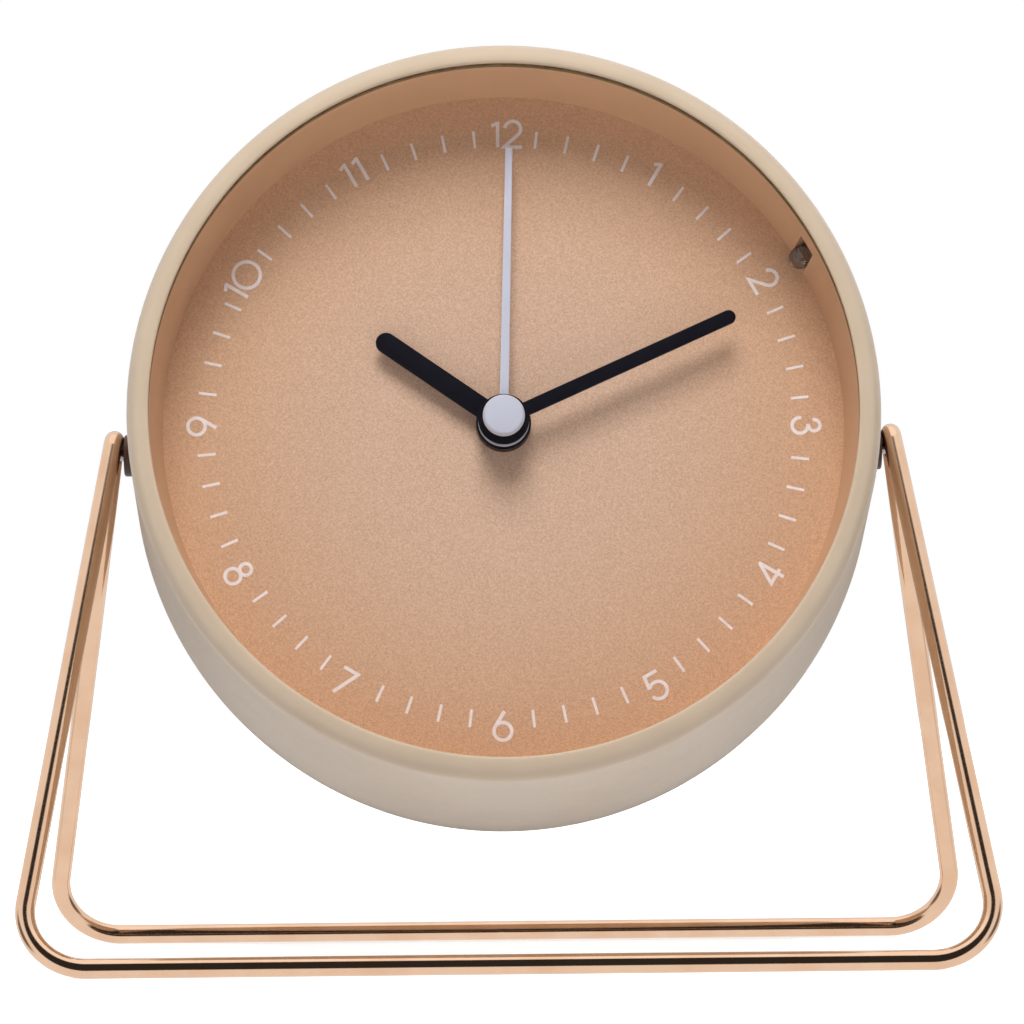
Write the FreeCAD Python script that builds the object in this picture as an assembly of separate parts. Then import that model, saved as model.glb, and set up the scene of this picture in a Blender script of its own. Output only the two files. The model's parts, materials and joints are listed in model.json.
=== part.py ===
import FreeCAD, Part
import math
import os

V = FreeCAD.Vector
os.makedirs("parts", exist_ok=True)

# Bedside alarm clock: a drum case that tilts between the legs of a bent wire stand.
# Millimetres. +Z up, the dial faces -Y, +X is to the right of someone who reads it.
# The origin is the centre of the footprint, on the surface that the stand rests on.
# The clock head is modelled upright about its tilt axis, then tilted back and lifted.

# Case
case_radius = 50.0
case_swell = 0.8
swell_behind_rim = 36.0
case_depth = 46.0
case_wall = 0.8
rim_round = 2.6
pivot_behind_rim = 29.0
dial_recess = 13.3
rest_tilt = 11.0

# Stand
wire_dia = 2.64
bar_spacing = 74.5
base_width = 129.4
pivot_height = 69.0
corner_bend = 8.3
hairpin_bend = 2.1

# Tilt pivots
pin_dia = 1.5
bush_flange_dia = 5.7
bush_flange = 1.1
bush_spigot_dia = 4.0
bush_spigot_reach = 1.0
bush_to_case = 0.1
bush_to_wire = 0.35
retainer_dia = 5.0
retainer_thick = 0.6
disc_spring_height = 0.7
disc_spring_thick = 0.3
pin_past_retainer = 0.8
pin_clearance = 0.05
pivot_play = 0.1

# Window and dial
lens_to_case = 1.4
lens_thick = 1.6
lens_to_lip = 0.15
gasket_thick = 0.5
gasket_to_case = 0.3
ring_behind_lip = 0.05
ring_taper = 1.3
ring_to_case = 0.25
ring_wall = 1.2
ring_skirt_wall = 1.25
dial_to_ring = 0.1
dial_thick = 0.5
dial_hole_dia = 5.6

# Alarm light in the ring, beside the two o'clock mark
lamp_angle = 60.9
lamp_dia = 3.0
lamp_length = 3.6
lamp_to_case = 1.1
lamp_height = 2.0
lamp_slot_width = 3.1
lamp_slot_height = 7.5
lamp_notch_clearance = 0.35
lamp_lead_dia = 0.5
lamp_lead_pitch = 1.27
lamp_lead_outside = 0.4
lamp_lead_from_board_edge = 1.0
lamp_lead_past_board = 0.8

# Hands, clockwise from twelve, heights in front of the dial
minute_angle = 65.65
hour_angle = 305.35
alarm_angle = 1.7
minute_length = 34.2
minute_width = 1.9
minute_hub_dia = 6.84
minute_front = 4.5
minute_hub_thick = 0.7
hour_length = 20.6
hour_width = 2.8
hour_hub_dia = 7.36
hour_front = 2.3
hour_hub_thick = 2.0
blade_thick = 0.5
alarm_length = 38.4
alarm_width_hub = 1.2
alarm_width_tip = 0.95
alarm_hub_dia = 6.84
alarm_front = 2.95
alarm_thick = 0.35
cap_dia = 5.6
cap_front = 7.1
cap_thick = 0.9
cap_bevel = 0.35

# Nested tubes that carry the hands
hour_tube_dia = 5.0
alarm_tube_dia = 3.7
minute_tube_dia = 2.5
seconds_arbor_dia = 1.1
tube_clearance = 0.05
arbor_in_cover = 0.9

# Gear train: depths behind the dial face, teeth and centre distances
chassis_thick = 1.4
gear_thick = 0.8
hour_layer = 2.3
alarm_layer = 3.6
motion_layer = 4.8
centre_layer = 6.4
third_layer = 8.4
seconds_layer = 10.2
fifth_layer = 11.6
motion_distance = 10.0
motion_direction = 116.87
knob_side = 14.35
knob_up = 7.07
cannon_teeth = 12
motion_teeth = 36
motion_pinion_teeth = 10
hour_teeth = 40
alarm_teeth = 30
alarm_set_teeth = 40
centre_teeth = 64
third_pinion_teeth = 8
third_teeth = 60
seconds_pinion_teeth = 8
seconds_teeth = 30
fifth_pinion_teeth = 6
fifth_teeth = 36
rotor_pinion_teeth = 6
third_distance = 12.0
third_direction = 225.0
fifth_distance = 7.2
rotor_distance = 6.3
rotor_direction = 315.0
tooth_share = 0.36
tooth_tip_share = 0.2
tooth_addendum = 0.75
tooth_dedendum = 1.2
gear_post_dia = 1.2
fine_post_dia = 0.8
post_clearance = 0.04
post_seat = 0.9
post_past_wheel = 0.3
fifth_post_past = 0.2
hub_past_gear = 0.1
magnet_dia = 5.0
magnet_length = 3.0
magnet_sleeve_dia = 2.0

# Movement cover and circuit board
cover_half_width = 28.0
cover_top = 20.0
cover_bottom = -24.0
cover_back = 14.3
cover_wall = 1.2
cover_ear_side = 22.0
cover_ear_out = 2.4
cover_ear_radius = 2.6
cover_ear_thick = 1.6
board_front = 15.1
board_thick = 1.2
board_to_skirt = 2.5
board_bottom = -13.5
board_post_dia = 6.0
board_post_side = 33.5
board_post_high = 18.0
board_post_low = -9.5

# Screws
small_screw_dia = 1.8
small_screw_head_dia = 3.6
small_screw_head = 1.2
movement_screw_reach = 1.0
board_screw_reach = 5.0
cover_screw_dia = 2.2
cover_screw_head_dia = 4.4
cover_screw_head = 1.5
cover_screw_length = 5.5
screw_clearance = 0.2
screw_drive_share = 0.6
screw_drive_width = 0.15

# Coil and stator
stator_left = 5.5
stator_right = 24.5
stator_top = -5.5
stator_bottom = -20.5
stator_layer = 8.9
stator_thick = 0.8
stator_gap_dia = 6.0
stator_core = 3.0
stator_side = 2.5
stator_pole = 8.1
stator_post_dia = 2.2
coil_dia = 7.0
coil_length = 10.0
bobbin_wall = 0.5
bobbin_flange = 1.0
coil_below_flange = 0.2

# Back cover
back_inset = 0.8
back_thick = 2.0
back_to_case = 0.3
back_chamfer = 0.4
skirt_wall = 1.4
skirt_to_chassis = 0.1
skirt_notch_side = 0.3
pivot_notch_width = 8.0
lamp_notch_width = 5.0
screw_from_case = 4.7
screw_angle = 40.0
case_tab_width = 8.0
case_tab_thick = 1.0
case_tab_length = 7.4
case_tab_past_screw = 3.0
back_boss_height = 0.8
back_boss_dia = 6.4

# Battery and its bay
cell_dia = 14.5
cell_length = 49.2
cell_nub_dia = 5.5
cell_nub = 1.3
cell_edge = 0.5
cell_drop = 25.2
cell_behind_back = 8.75
bay_clearance = 0.3
bay_wall = 1.0
bay_contact_room = 1.9
contact_thick = 0.4
contact_width = 8.0
contact_side_gap = 0.2
contact_tail_width = 2.6
contact_tail_top = -11.0
contact_bow = 1.3
contact_height = 4.0
door_thick = 1.2
door_clearance = 0.25
door_ledge = 1.25
door_under = 0.1
door_tab_side = 16.0
door_tab_width = 6.0
door_tab_depth = 1.8
door_tab_below = 2.2
door_tab_above = 1.8
door_tab_clearance = 0.3
door_swing_room = 1.0
door_grip_width = 12.0
door_grip_dia = 3.0
door_grip_drop = 3.0
door_grip_depth = 0.75

# Knobs, alarm switch and light key
knob_dia = 13.0
knob_height = 6.0
knob_flutes = 24
knob_flute_dia = 1.0
knob_flute_depth = 0.25
knob_bevel = 0.6
knob_gap = 0.6
knob_bore_depth = 4.5
knob_shaft_dia = 2.4
knob_shaft_seat = 0.9
shaft_clearance = 0.05
shaft_board_clearance = 0.5
shaft_boss_dia = 5.4
shaft_boss_height = 1.5
key_width = 24.0
key_high = 8.0
key_centre = 31.0
key_proud = 2.0
key_round = 2.0
key_flange = 1.0
key_flange_thick = 1.2
key_travel = 1.2
key_clearance = 0.3
key_under = 0.1
key_stem_dia = 3.4
plunger_dia = 2.6
plunger_length = 2.0
plunger_seat = 0.5
plunger_clearance = 0.1
light_switch_side = 6.0
light_switch_high = 3.5
switch_side = 31.0
switch_height = -3.0
switch_travel = 4.0
switch_width = 3.6
switch_high = 4.6
switch_neck = 2.4
switch_proud = 1.6
switch_round = 0.3
switch_plate_thick = 1.2
switch_plate_margin = 1.4
switch_clearance = 0.3
switch_stem = 2.0
switch_stem_in = 2.0
switch_body_width = 5.0
switch_body_high = 12.0
switch_body_deep = 4.0

# Parts on the circuit board
chip_x = -8.0
chip_z = 27.0
chip_dia = 9.0
chip_high = 1.5
chip_round = 1.35
crystal_x = 11.0
crystal_z = 20.0
crystal_dia = 2.0
crystal_length = 6.0

# Buzzer and its slots
buzzer_side = -31.0
buzzer_height = -3.0
buzzer_dia = 20.0
buzzer_thick = 0.3
buzzer_ceramic_dia = 14.0
buzzer_ceramic_thick = 0.3
buzzer_ring_height = 3.7
buzzer_ring_bore = 17.6
buzzer_pin_dia = 0.8
buzzer_pin_apart = 9.0
slot_count = 5
slot_pitch = 2.8
slot_width = 1.5
slot_circle = 8.0

# How far a cutting tool runs past the face that it cuts
past = 1.0

# Places that follow from the sizes above
rim_y = -pivot_behind_rim
dial_y = rim_y + dial_recess
case_back_y = rim_y + case_depth
case_inner = case_radius - case_wall
rim_centre_radius = case_radius - rim_round
rim_centre_y = rim_y + rim_round
swell_y = rim_y + swell_behind_rim
pivot_swell = case_swell * (pivot_behind_rim - rim_round) / (swell_behind_rim - rim_round)
lens_radius = case_inner - lens_to_case
gasket_outer_radius = case_inner - gasket_to_case
ring_front_radius = rim_centre_radius - case_wall / 2 + ring_behind_lip
ring_dial_radius = ring_front_radius - ring_taper
ring_outer_radius = case_inner - ring_to_case
dial_radius = ring_outer_radius - ring_skirt_wall - dial_to_ring
lamp_back_radius = case_inner - lamp_to_case
lamp_tip_radius = lamp_back_radius - lamp_length
lamp_outside_radius = lamp_back_radius + lamp_lead_outside
lamp_notch_radius = lamp_outside_radius - lamp_lead_dia / 2 - lamp_notch_clearance
back_radius = case_inner - back_to_case
screw_circle = case_inner - screw_from_case
case_tab_inner_radius = screw_circle - case_tab_past_screw
back_out_y = case_back_y - back_inset
back_in_y = back_out_y - back_thick
lip_back_y = rim_y + case_wall
lens_front_y = lip_back_y + lens_to_lip
lens_back_y = lens_front_y + lens_thick
ring_front_y = lens_back_y + gasket_thick
chassis_front_y = dial_y + dial_thick
chassis_back_y = chassis_front_y + chassis_thick
cover_back_y = dial_y + cover_back
cover_in_y = cover_back_y - cover_wall
board_front_y = dial_y + board_front
board_back_y = board_front_y + board_thick
tab_back_y = back_in_y - back_boss_height
wire_radius = wire_dia / 2
bush_face_x = case_radius + pivot_swell + bush_to_case + bush_flange
bush_end_x = case_inner - bush_spigot_reach
wire_pivot_x = bush_face_x + bush_to_wire + wire_radius
skirt_inner = back_radius - skirt_wall
board_radius = skirt_inner - board_to_skirt
lamp_lead_radius = board_radius - lamp_lead_from_board_edge
cell_y = back_out_y - cell_behind_back
cell_z = -cell_drop
bay_half_length = (cell_length + cell_nub) / 2 + bay_contact_room
bay_half_height = cell_dia / 2 + bay_clearance
bay_front_y = cell_y - bay_half_height


def behind(depth):
    return dial_y + depth


def ahead(height):
    return dial_y - height


def polar(radius, degrees):
    turn = math.radians(degrees)
    return radius * math.cos(turn), radius * math.sin(turn)


def drum(radius, y0, y1, x=0.0, z=0.0):
    low, high = min(y0, y1), max(y0, y1)
    return Part.makeCylinder(radius, high - low, V(x, low, z), V(0, 1, 0))


def tube(outer, inner, y0, y1, x=0.0, z=0.0):
    low, high = min(y0, y1), max(y0, y1)
    bore = Part.makeCylinder(inner, high - low + 2 * past, V(x, low - past, z), V(0, 1, 0))
    return drum(outer, low, high, x, z).cut(bore)


def block(x0, x1, y0, y1, z0, z1):
    return Part.makeBox(x1 - x0, y1 - y0, z1 - z0, V(x0, y0, z0))


def prism(points, y0, y1):
    corners = [V(x, y0, z) for x, z in points]
    face = Part.Face(Part.makePolygon(corners + [corners[0]]))
    return face.extrude(V(0, y1 - y0, 0))


def spun(edges):
    face = Part.Face(Part.Wire(edges))
    return face.revolve(V(0, 0, 0), V(0, 1, 0), 360)


def line(a, b):
    return Part.LineSegment(V(a[0], a[1], 0), V(b[0], b[1], 0)).toShape()


def arc(a, middle, b):
    return Part.Arc(V(a[0], a[1], 0), V(middle[0], middle[1], 0), V(b[0], b[1], 0)).toShape()


def ring_profile(points):
    closed = points + [points[0]]
    return spun([line(a, b) for a, b in zip(closed, closed[1:])])


def prism_z(points, z0, z1):
    corners = [V(x, y, z0) for x, y in points]
    face = Part.Face(Part.makePolygon(corners + [corners[0]]))
    return face.extrude(V(0, 0, z1 - z0))


def rounded_block(half_x, half_z, radius, y0, y1, x=0.0, z=0.0):
    body = block(x - half_x, x + half_x, y0, y1, z - half_z, z + half_z)
    upright = [e for e in body.Edges if abs(e.tangentAt(e.FirstParameter).y) > 0.9]
    return body.makeFillet(radius, upright)


def turned(shape, clockwise):
    copy = shape.copy()
    copy.rotate(V(0, 0, 0), V(0, 1, 0), clockwise)
    return copy


def seated(shape):
    copy = shape.copy()
    copy.rotate(V(0, 0, 0), V(1, 0, 0), -rest_tilt)
    copy.translate(V(0, 0, pivot_height))
    return copy


def group(solids):
    return Part.makeCompound(solids)


def write(name, shape):
    shape.exportStep("parts/" + name + ".step")


def write_head(name, shape):
    write(name, seated(shape))


def at_angle(shape, degrees):
    return turned(shape, -degrees)


def mirrored(shape):
    return shape.mirror(V(0, 0, 0), V(1, 0, 0))


def ring_notch(width, inner, outer, y0, y1):
    return block(-width / 2, width / 2, y0, y1, inner, outer)


def rod(points, radius):
    ends = [V(*point) for point in points]
    pieces = [Part.makeCylinder(radius, (b - a).Length, a, b - a) for a, b in zip(ends, ends[1:])]
    joints = [Part.makeSphere(radius, corner) for corner in ends[1:-1]]
    return pieces[0].fuse(pieces[1:] + joints)


# Wire stand: one closed loop of bent wire

def unit(vector):
    return vector * (1.0 / vector.Length)


def bent_loop(corners):
    runs = []
    bends = []
    count = len(corners)
    for i in range(count):
        before, radius = corners[i - 1][0], corners[i][1]
        here, after = corners[i][0], corners[(i + 1) % count][0]
        into, out = unit(here - before), unit(after - here)
        turn = into.getAngle(out)
        setback = radius * math.tan(turn / 2)
        start, end = here - into * setback, here + out * setback
        inward = unit(out - into)
        centre = here + inward * (radius / math.cos(turn / 2))
        bends.append((start, centre - inward * radius, end))
    for i in range(count):
        runs.append((bends[i - 1][2], bends[i][0]))
    return runs, bends


def wire_solid(runs, bends):
    path = []
    for run, bend in zip(runs, bends):
        path.append(Part.LineSegment(*run).toShape())
        path.append(Part.Arc(*bend).toShape())
    spine = Part.Wire(Part.__sortEdges__(path))
    start, end = runs[0]
    section = Part.Wire(Part.makeCircle(wire_radius, start, end - start))
    print("stand wire %.1f mm long" % spine.Length)
    return spine.makePipeShell([section], True, False)


def stand_corners():
    half_depth = bar_spacing / 2
    foot_x = base_width / 2
    rise = pivot_height - wire_radius
    slope = math.hypot(foot_x - wire_pivot_x, rise)
    leg_angle = math.atan(half_depth / slope) - math.asin(hairpin_bend / math.hypot(half_depth, slope))
    lift = hairpin_bend / math.sin(leg_angle) / slope
    apex_x = wire_pivot_x - (foot_x - wire_pivot_x) * lift
    apex_z = pivot_height + rise * lift
    return [
        (V(-foot_x, half_depth, wire_radius), corner_bend),
        (V(-apex_x, 0, apex_z), hairpin_bend),
        (V(-foot_x, -half_depth, wire_radius), corner_bend),
        (V(foot_x, -half_depth, wire_radius), corner_bend),
        (V(apex_x, 0, apex_z), hairpin_bend),
        (V(foot_x, half_depth, wire_radius), corner_bend),
    ]


def make_stand():
    runs, bends = bent_loop(stand_corners())
    write("stand_wire", wire_solid(runs, bends))


# Tilt pivots: the pins belong to the stand and the bushes to the case

def rod_x(radius, x0, x1):
    return Part.makeCylinder(radius, x1 - x0, V(x0, 0, 0), V(1, 0, 0))


def both_sides(shape):
    return group([shape, mirrored(shape)])


def make_pivots():
    spring_x = bush_end_x - pivot_play
    retainer_x = spring_x - disc_spring_height - pivot_play
    pin_end_x = retainer_x - retainer_thick - pin_past_retainer
    pin = rod_x(pin_dia / 2, pin_end_x, wire_pivot_x)
    write_head("pivot_pins", both_sides(pin))

    bore = pin_dia / 2 + pin_clearance
    flange = rod_x(bush_flange_dia / 2, bush_face_x - bush_flange, bush_face_x)
    spigot = rod_x(bush_spigot_dia / 2, bush_end_x, bush_face_x)
    bush = flange.fuse(spigot).cut(rod_x(bore, bush_end_x - past, bush_face_x + past))
    write_head("pivot_bushes", both_sides(bush.removeSplitter()))

    washer = rod_x(retainer_dia / 2, retainer_x - retainer_thick, retainer_x)
    washer = washer.cut(rod_x(pin_dia / 2, retainer_x - retainer_thick, retainer_x))
    write_head("pivot_retainers", both_sides(washer))

    foot, crown = spring_x - disc_spring_height, spring_x
    rise = disc_spring_height - disc_spring_thick
    outline = [
        (retainer_dia / 2, foot),
        (retainer_dia / 2, foot + disc_spring_thick),
        (bore, crown),
        (bore, foot + rise),
    ]
    cone = ring_profile(outline)
    cone.rotate(V(0, 0, 0), V(0, 0, 1), -90)
    write_head("pivot_disc_springs", both_sides(cone))


# Case: a thin drum rolled in at the front and slightly barrelled, with four brackets welded inside

def arc_middle(radius, reach, degrees):
    across, along = polar(reach, degrees)
    return radius + across, rim_centre_y + along


# One side of the wall from the rim to the back, and the widest point between
def barrel_side(radius, back_y):
    widest = (radius + case_swell, swell_y)
    falling = (radius + 0.75 * case_swell, (swell_y + back_y) / 2)
    return [line((radius, rim_centre_y), widest), arc(widest, falling, (radius, back_y))]


def make_case():
    nose = case_wall / 2
    inner_round = rim_round - case_wall
    back_nose_y = case_back_y - nose
    edges = barrel_side(case_radius, back_nose_y)[::-1] + [
        arc(
            (case_radius, rim_centre_y),
            arc_middle(rim_centre_radius, rim_round, -45),
            (rim_centre_radius, rim_y),
        ),
        arc(
            (rim_centre_radius, rim_y),
            (rim_centre_radius - nose, rim_y + nose),
            (rim_centre_radius, lip_back_y),
        ),
        arc(
            (rim_centre_radius, lip_back_y),
            arc_middle(rim_centre_radius, inner_round, -45),
            (case_inner, rim_centre_y),
        ),
    ] + barrel_side(case_inner, back_nose_y) + [
        arc(
            (case_inner, back_nose_y),
            (case_inner + nose, case_back_y),
            (case_radius, back_nose_y),
        ),
    ]
    holes = rod_x(bush_spigot_dia / 2, -bush_face_x, bush_face_x)
    write_head("case_shell", spun(edges).cut(holes))

    half = case_tab_width / 2
    foot_front_y = tab_back_y - case_tab_length
    foot_inner = case_tab_inner_radius
    foot = block(foot_inner, case_inner + case_swell + past, foot_front_y, tab_back_y, -half, half)
    flange_y = tab_back_y - case_tab_thick
    flange = block(case_tab_inner_radius, case_inner, flange_y, tab_back_y, -half, half)
    hollow = drum(case_inner + case_swell / 2 - case_tab_thick, foot_front_y - past, flange_y)
    inside = barrel_side(case_inner, back_nose_y)
    inside += [
        line((case_inner, back_nose_y), (0, back_nose_y)),
        line((0, back_nose_y), (0, rim_centre_y)),
        line((0, rim_centre_y), (case_inner, rim_centre_y)),
    ]
    tab = foot.cut(hollow).fuse(flange).common(spun(inside))
    tab = tab.cut(drum(cover_screw_dia / 2, foot_front_y, tab_back_y + past, screw_circle))
    tabs = [at_angle(tab.removeSplitter(), degrees) for degrees in screw_angles()]
    write_head("case_tabs", group(tabs))


def screw_angles():
    return [screw_angle, 180 - screw_angle, 180 + screw_angle, 360 - screw_angle]


# Window, ring, dial and alarm light

def make_window():
    write_head("front_lens", drum(lens_radius, lens_front_y, lens_back_y))
    gasket = tube(gasket_outer_radius, ring_front_radius, lens_back_y, ring_front_y)
    write_head("lens_gasket", gasket)


def make_inner_ring():
    taper = (ring_front_radius - ring_dial_radius) / (dial_y - ring_front_y)
    front_wall_y = ring_front_y + ring_wall
    back_wall_y = dial_y - ring_wall
    skirt_radius = dial_radius + dial_to_ring
    outline = [
        (ring_dial_radius, dial_y),
        (ring_front_radius, ring_front_y),
        (ring_outer_radius, ring_front_y),
        (ring_outer_radius, front_wall_y),
        (ring_front_radius - taper * ring_wall + ring_wall, front_wall_y),
        (ring_dial_radius + taper * ring_wall + ring_wall, back_wall_y),
        (ring_outer_radius, back_wall_y),
        (ring_outer_radius, chassis_front_y),
        (skirt_radius, chassis_front_y),
        (skirt_radius, dial_y),
    ]
    slot_top_y = dial_y - lamp_slot_height
    slot_inner = ring_dial_radius - past
    slot = ring_notch(lamp_slot_width, slot_inner, case_inner, slot_top_y, chassis_front_y)
    write_head("inner_ring", ring_profile(outline).cut(turned(slot, lamp_angle)))


def make_dial():
    plate = tube(dial_radius, dial_hole_dia / 2, dial_y, chassis_front_y)
    write_head("dial_plate", plate)


def make_lamp():
    radius = lamp_dia / 2
    lamp_y = ahead(lamp_height)
    dome_centre = lamp_tip_radius + radius
    dome_place = V(0, lamp_y, dome_centre)
    barrel = Part.makeCylinder(radius, lamp_back_radius - dome_centre, dome_place, V(0, 0, 1))
    lamp = barrel.fuse(Part.makeSphere(radius, dome_place))
    write_head("alarm_light", turned(lamp.removeSplitter(), lamp_angle))

    inward_y = chassis_back_y + lamp_lead_outside
    end_y = board_back_y + lamp_lead_past_board
    leads = []
    for side in (-lamp_lead_pitch / 2, lamp_lead_pitch / 2):
        route = [
            (side, lamp_y, lamp_back_radius),
            (side, lamp_y, lamp_outside_radius),
            (side, inward_y, lamp_outside_radius),
            (side, inward_y, lamp_lead_radius),
            (side, end_y, lamp_lead_radius),
        ]
        leads.append(turned(rod(route, lamp_lead_dia / 2), lamp_angle))
    write_head("alarm_light_leads", group(leads))


# Gears: straight flanked teeth with wide gaps, as in a moulded clock train

def gear_outline(teeth, module, phase, x, z):
    pitch = teeth * module / 2
    root = pitch - tooth_dedendum * module
    tip = pitch + tooth_addendum * module
    step = 360.0 / teeth
    foot_half = step * tooth_share * 0.5 * pitch / root
    tip_half = step * tooth_tip_share * 0.5
    points = []
    for tooth in range(teeth):
        middle = phase + tooth * step
        for radius, degrees in (
            (root, middle - foot_half),
            (tip, middle - tip_half),
            (tip, middle + tip_half),
            (root, middle + foot_half),
        ):
            across, up = polar(radius, degrees)
            points.append((x + across, z + up))
    return points


def gear(teeth, module, phase, layer, x, z):
    front = behind(layer)
    return prism(gear_outline(teeth, module, phase, x, z), front, front + gear_thick)


def mesh_phase(phase, teeth, direction, next_teeth):
    turn = (phase - direction) * teeth / next_teeth
    return direction + 180 - turn + 180.0 / next_teeth


def bored(shape, radius, x, z):
    return shape.cut(drum(radius, rim_y, case_back_y, x, z)).removeSplitter()


def train_places():
    third_x, third_z = polar(third_distance, third_direction)
    fifth_x, fifth_z = polar(fifth_distance, rotor_direction)
    rotor_x, rotor_z = polar(fifth_distance + rotor_distance, rotor_direction)
    motion_x, motion_z = polar(motion_distance, motion_direction)
    return {
        "third": (third_x, third_z),
        "fifth": (fifth_x, fifth_z),
        "rotor": (rotor_x, rotor_z),
        "motion": (motion_x, motion_z),
        "time_knob": (-knob_side, knob_up),
        "alarm_knob": (knob_side, knob_up),
    }


def direction_between(start, end):
    return math.degrees(math.atan2(end[1] - start[1], end[0] - start[0]))


def distance_between(start, end):
    return math.hypot(end[0] - start[0], end[1] - start[1])


# Hands and the motion work that turns them

def hand_blade(length, half_root, half_tip, front_y, rounded):
    blade = prism(
        [(-half_root, 0), (-half_tip, length), (half_tip, length), (half_root, 0)],
        front_y,
        front_y + blade_thick,
    )
    if rounded:
        blade = blade.fuse(drum(half_tip, front_y, front_y + blade_thick, 0, length))
    return blade


def make_hands():
    minute_y = ahead(minute_front)
    half = minute_width / 2
    blade = hand_blade(minute_length - half, half, half, minute_y, True)
    hub = drum(minute_hub_dia / 2, minute_y, minute_y + minute_hub_thick)
    hand = bored(blade.fuse(hub), minute_tube_dia / 2, 0, 0)
    write_head("minute_hand", turned(hand, minute_angle))

    hour_y = ahead(hour_front)
    half = hour_width / 2
    blade = hand_blade(hour_length - half, half, half, hour_y, True)
    hub = drum(hour_hub_dia / 2, hour_y, hour_y + hour_hub_thick)
    hand = bored(blade.fuse(hub), hour_tube_dia / 2, 0, 0)
    write_head("hour_hand", turned(hand, hour_angle))

    alarm_y = ahead(alarm_front)
    points = [
        (-alarm_width_hub / 2, 0),
        (-alarm_width_tip / 2, alarm_length),
        (alarm_width_tip / 2, alarm_length),
        (alarm_width_hub / 2, 0),
    ]
    blade = prism(points, alarm_y, alarm_y + alarm_thick)
    hub = drum(alarm_hub_dia / 2, alarm_y, alarm_y + alarm_thick)
    hand = bored(blade.fuse(hub), alarm_tube_dia / 2, 0, 0)
    write_head("alarm_hand", turned(hand, alarm_angle))

    cap_y = ahead(cap_front)
    cap = drum(cap_dia / 2, cap_y, cap_y + cap_thick)
    rim = [edge for edge in cap.Edges if edge.BoundBox.YMax < cap_y + cap_bevel]
    cap = cap.makeChamfer(cap_bevel, rim)
    cap = cap.cut(drum(seconds_arbor_dia / 2, cap_y + cap_thick / 2, cap_y + cap_thick + past))
    write_head("seconds_cap", cap)


def make_motion_work():
    places = train_places()
    centre = (0.0, 0.0)
    motion = places["motion"]
    knob = places["time_knob"]
    towards_motion = direction_between(centre, motion)
    motion_module = 2 * motion_distance / (cannon_teeth + motion_teeth)
    hour_module = 2 * motion_distance / (motion_pinion_teeth + hour_teeth)

    cannon = gear(cannon_teeth, motion_module, 0.0, motion_layer, 0, 0)
    tube_end_y = behind(centre_layer + gear_thick + hub_past_gear)
    cannon_tube = drum(minute_tube_dia / 2, ahead(minute_front), tube_end_y)
    cannon = bored(cannon.fuse(cannon_tube), seconds_arbor_dia / 2 + tube_clearance, 0, 0)
    write_head("cannon_pinion", cannon)

    motion_phase = mesh_phase(0.0, cannon_teeth, towards_motion, motion_teeth)
    wheel = gear(motion_teeth, motion_module, motion_phase, motion_layer, *motion)
    pinion_outline = gear_outline(motion_pinion_teeth, hour_module, motion_phase, *motion)
    pinion = prism(pinion_outline, behind(hour_layer), behind(motion_layer))
    bore = gear_post_dia / 2 + post_clearance
    write_head("motion_wheel", bored(wheel.fuse(pinion), bore, *motion))

    towards_centre = direction_between(motion, centre)
    hour_phase = mesh_phase(motion_phase, motion_pinion_teeth, towards_centre, hour_teeth)
    wheel = gear(hour_teeth, hour_module, hour_phase, hour_layer, 0, 0)
    pipe = drum(hour_tube_dia / 2, ahead(hour_front), behind(hour_layer + gear_thick))
    wheel = bored(wheel.fuse(pipe), alarm_tube_dia / 2 + tube_clearance, 0, 0)
    write_head("hour_wheel", wheel)

    towards_knob = direction_between(motion, knob)
    knob_phase = mesh_phase(motion_phase, motion_teeth, towards_knob, cannon_teeth)
    pinion = gear(cannon_teeth, motion_module, knob_phase, motion_layer, *knob)
    write_head("time_setting_shaft", pinion.fuse(knob_shaft(*knob)).removeSplitter())
    write_head("time_knob", knob_body(*knob))


def make_alarm_work():
    knob = train_places()["alarm_knob"]
    module = 2 * distance_between((0, 0), knob) / (alarm_teeth + alarm_set_teeth)
    towards_knob = direction_between((0, 0), knob)
    wheel = gear(alarm_teeth, module, 0.0, alarm_layer, 0, 0)
    pipe = drum(alarm_tube_dia / 2, ahead(alarm_front), behind(alarm_layer + gear_thick))
    wheel = bored(wheel.fuse(pipe), minute_tube_dia / 2 + tube_clearance, 0, 0)
    write_head("alarm_wheel", wheel)

    phase = mesh_phase(0.0, alarm_teeth, towards_knob, alarm_set_teeth)
    set_wheel = gear(alarm_set_teeth, module, phase, alarm_layer, *knob)
    write_head("alarm_setting_shaft", set_wheel.fuse(knob_shaft(*knob)).removeSplitter())
    write_head("alarm_knob", knob_body(*knob))


def knob_shaft(x, z):
    front = chassis_back_y - knob_shaft_seat
    back = back_out_y + knob_gap + knob_bore_depth
    return drum(knob_shaft_dia / 2, front, back, x, z)


def knob_body(x, z):
    front = back_out_y + knob_gap
    back = front + knob_height
    body = drum(knob_dia / 2, front, back, x, z)
    rim = [edge for edge in body.Edges if edge.BoundBox.YMin > back - knob_bevel]
    body = body.makeChamfer(knob_bevel, rim)
    flutes = []
    for flute in range(knob_flutes):
        across, up = polar(knob_dia / 2 + knob_flute_dia / 2 - knob_flute_depth, flute * 360.0 / knob_flutes)
        flutes.append(drum(knob_flute_dia / 2, front - past, back + past, x + across, z + up))
    bore = drum(knob_shaft_dia / 2, front - past, front + knob_bore_depth, x, z)
    return body.cut(flutes + [bore])


# Running train: rotor, fifth wheel, seconds wheel, third wheel and centre wheel

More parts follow.
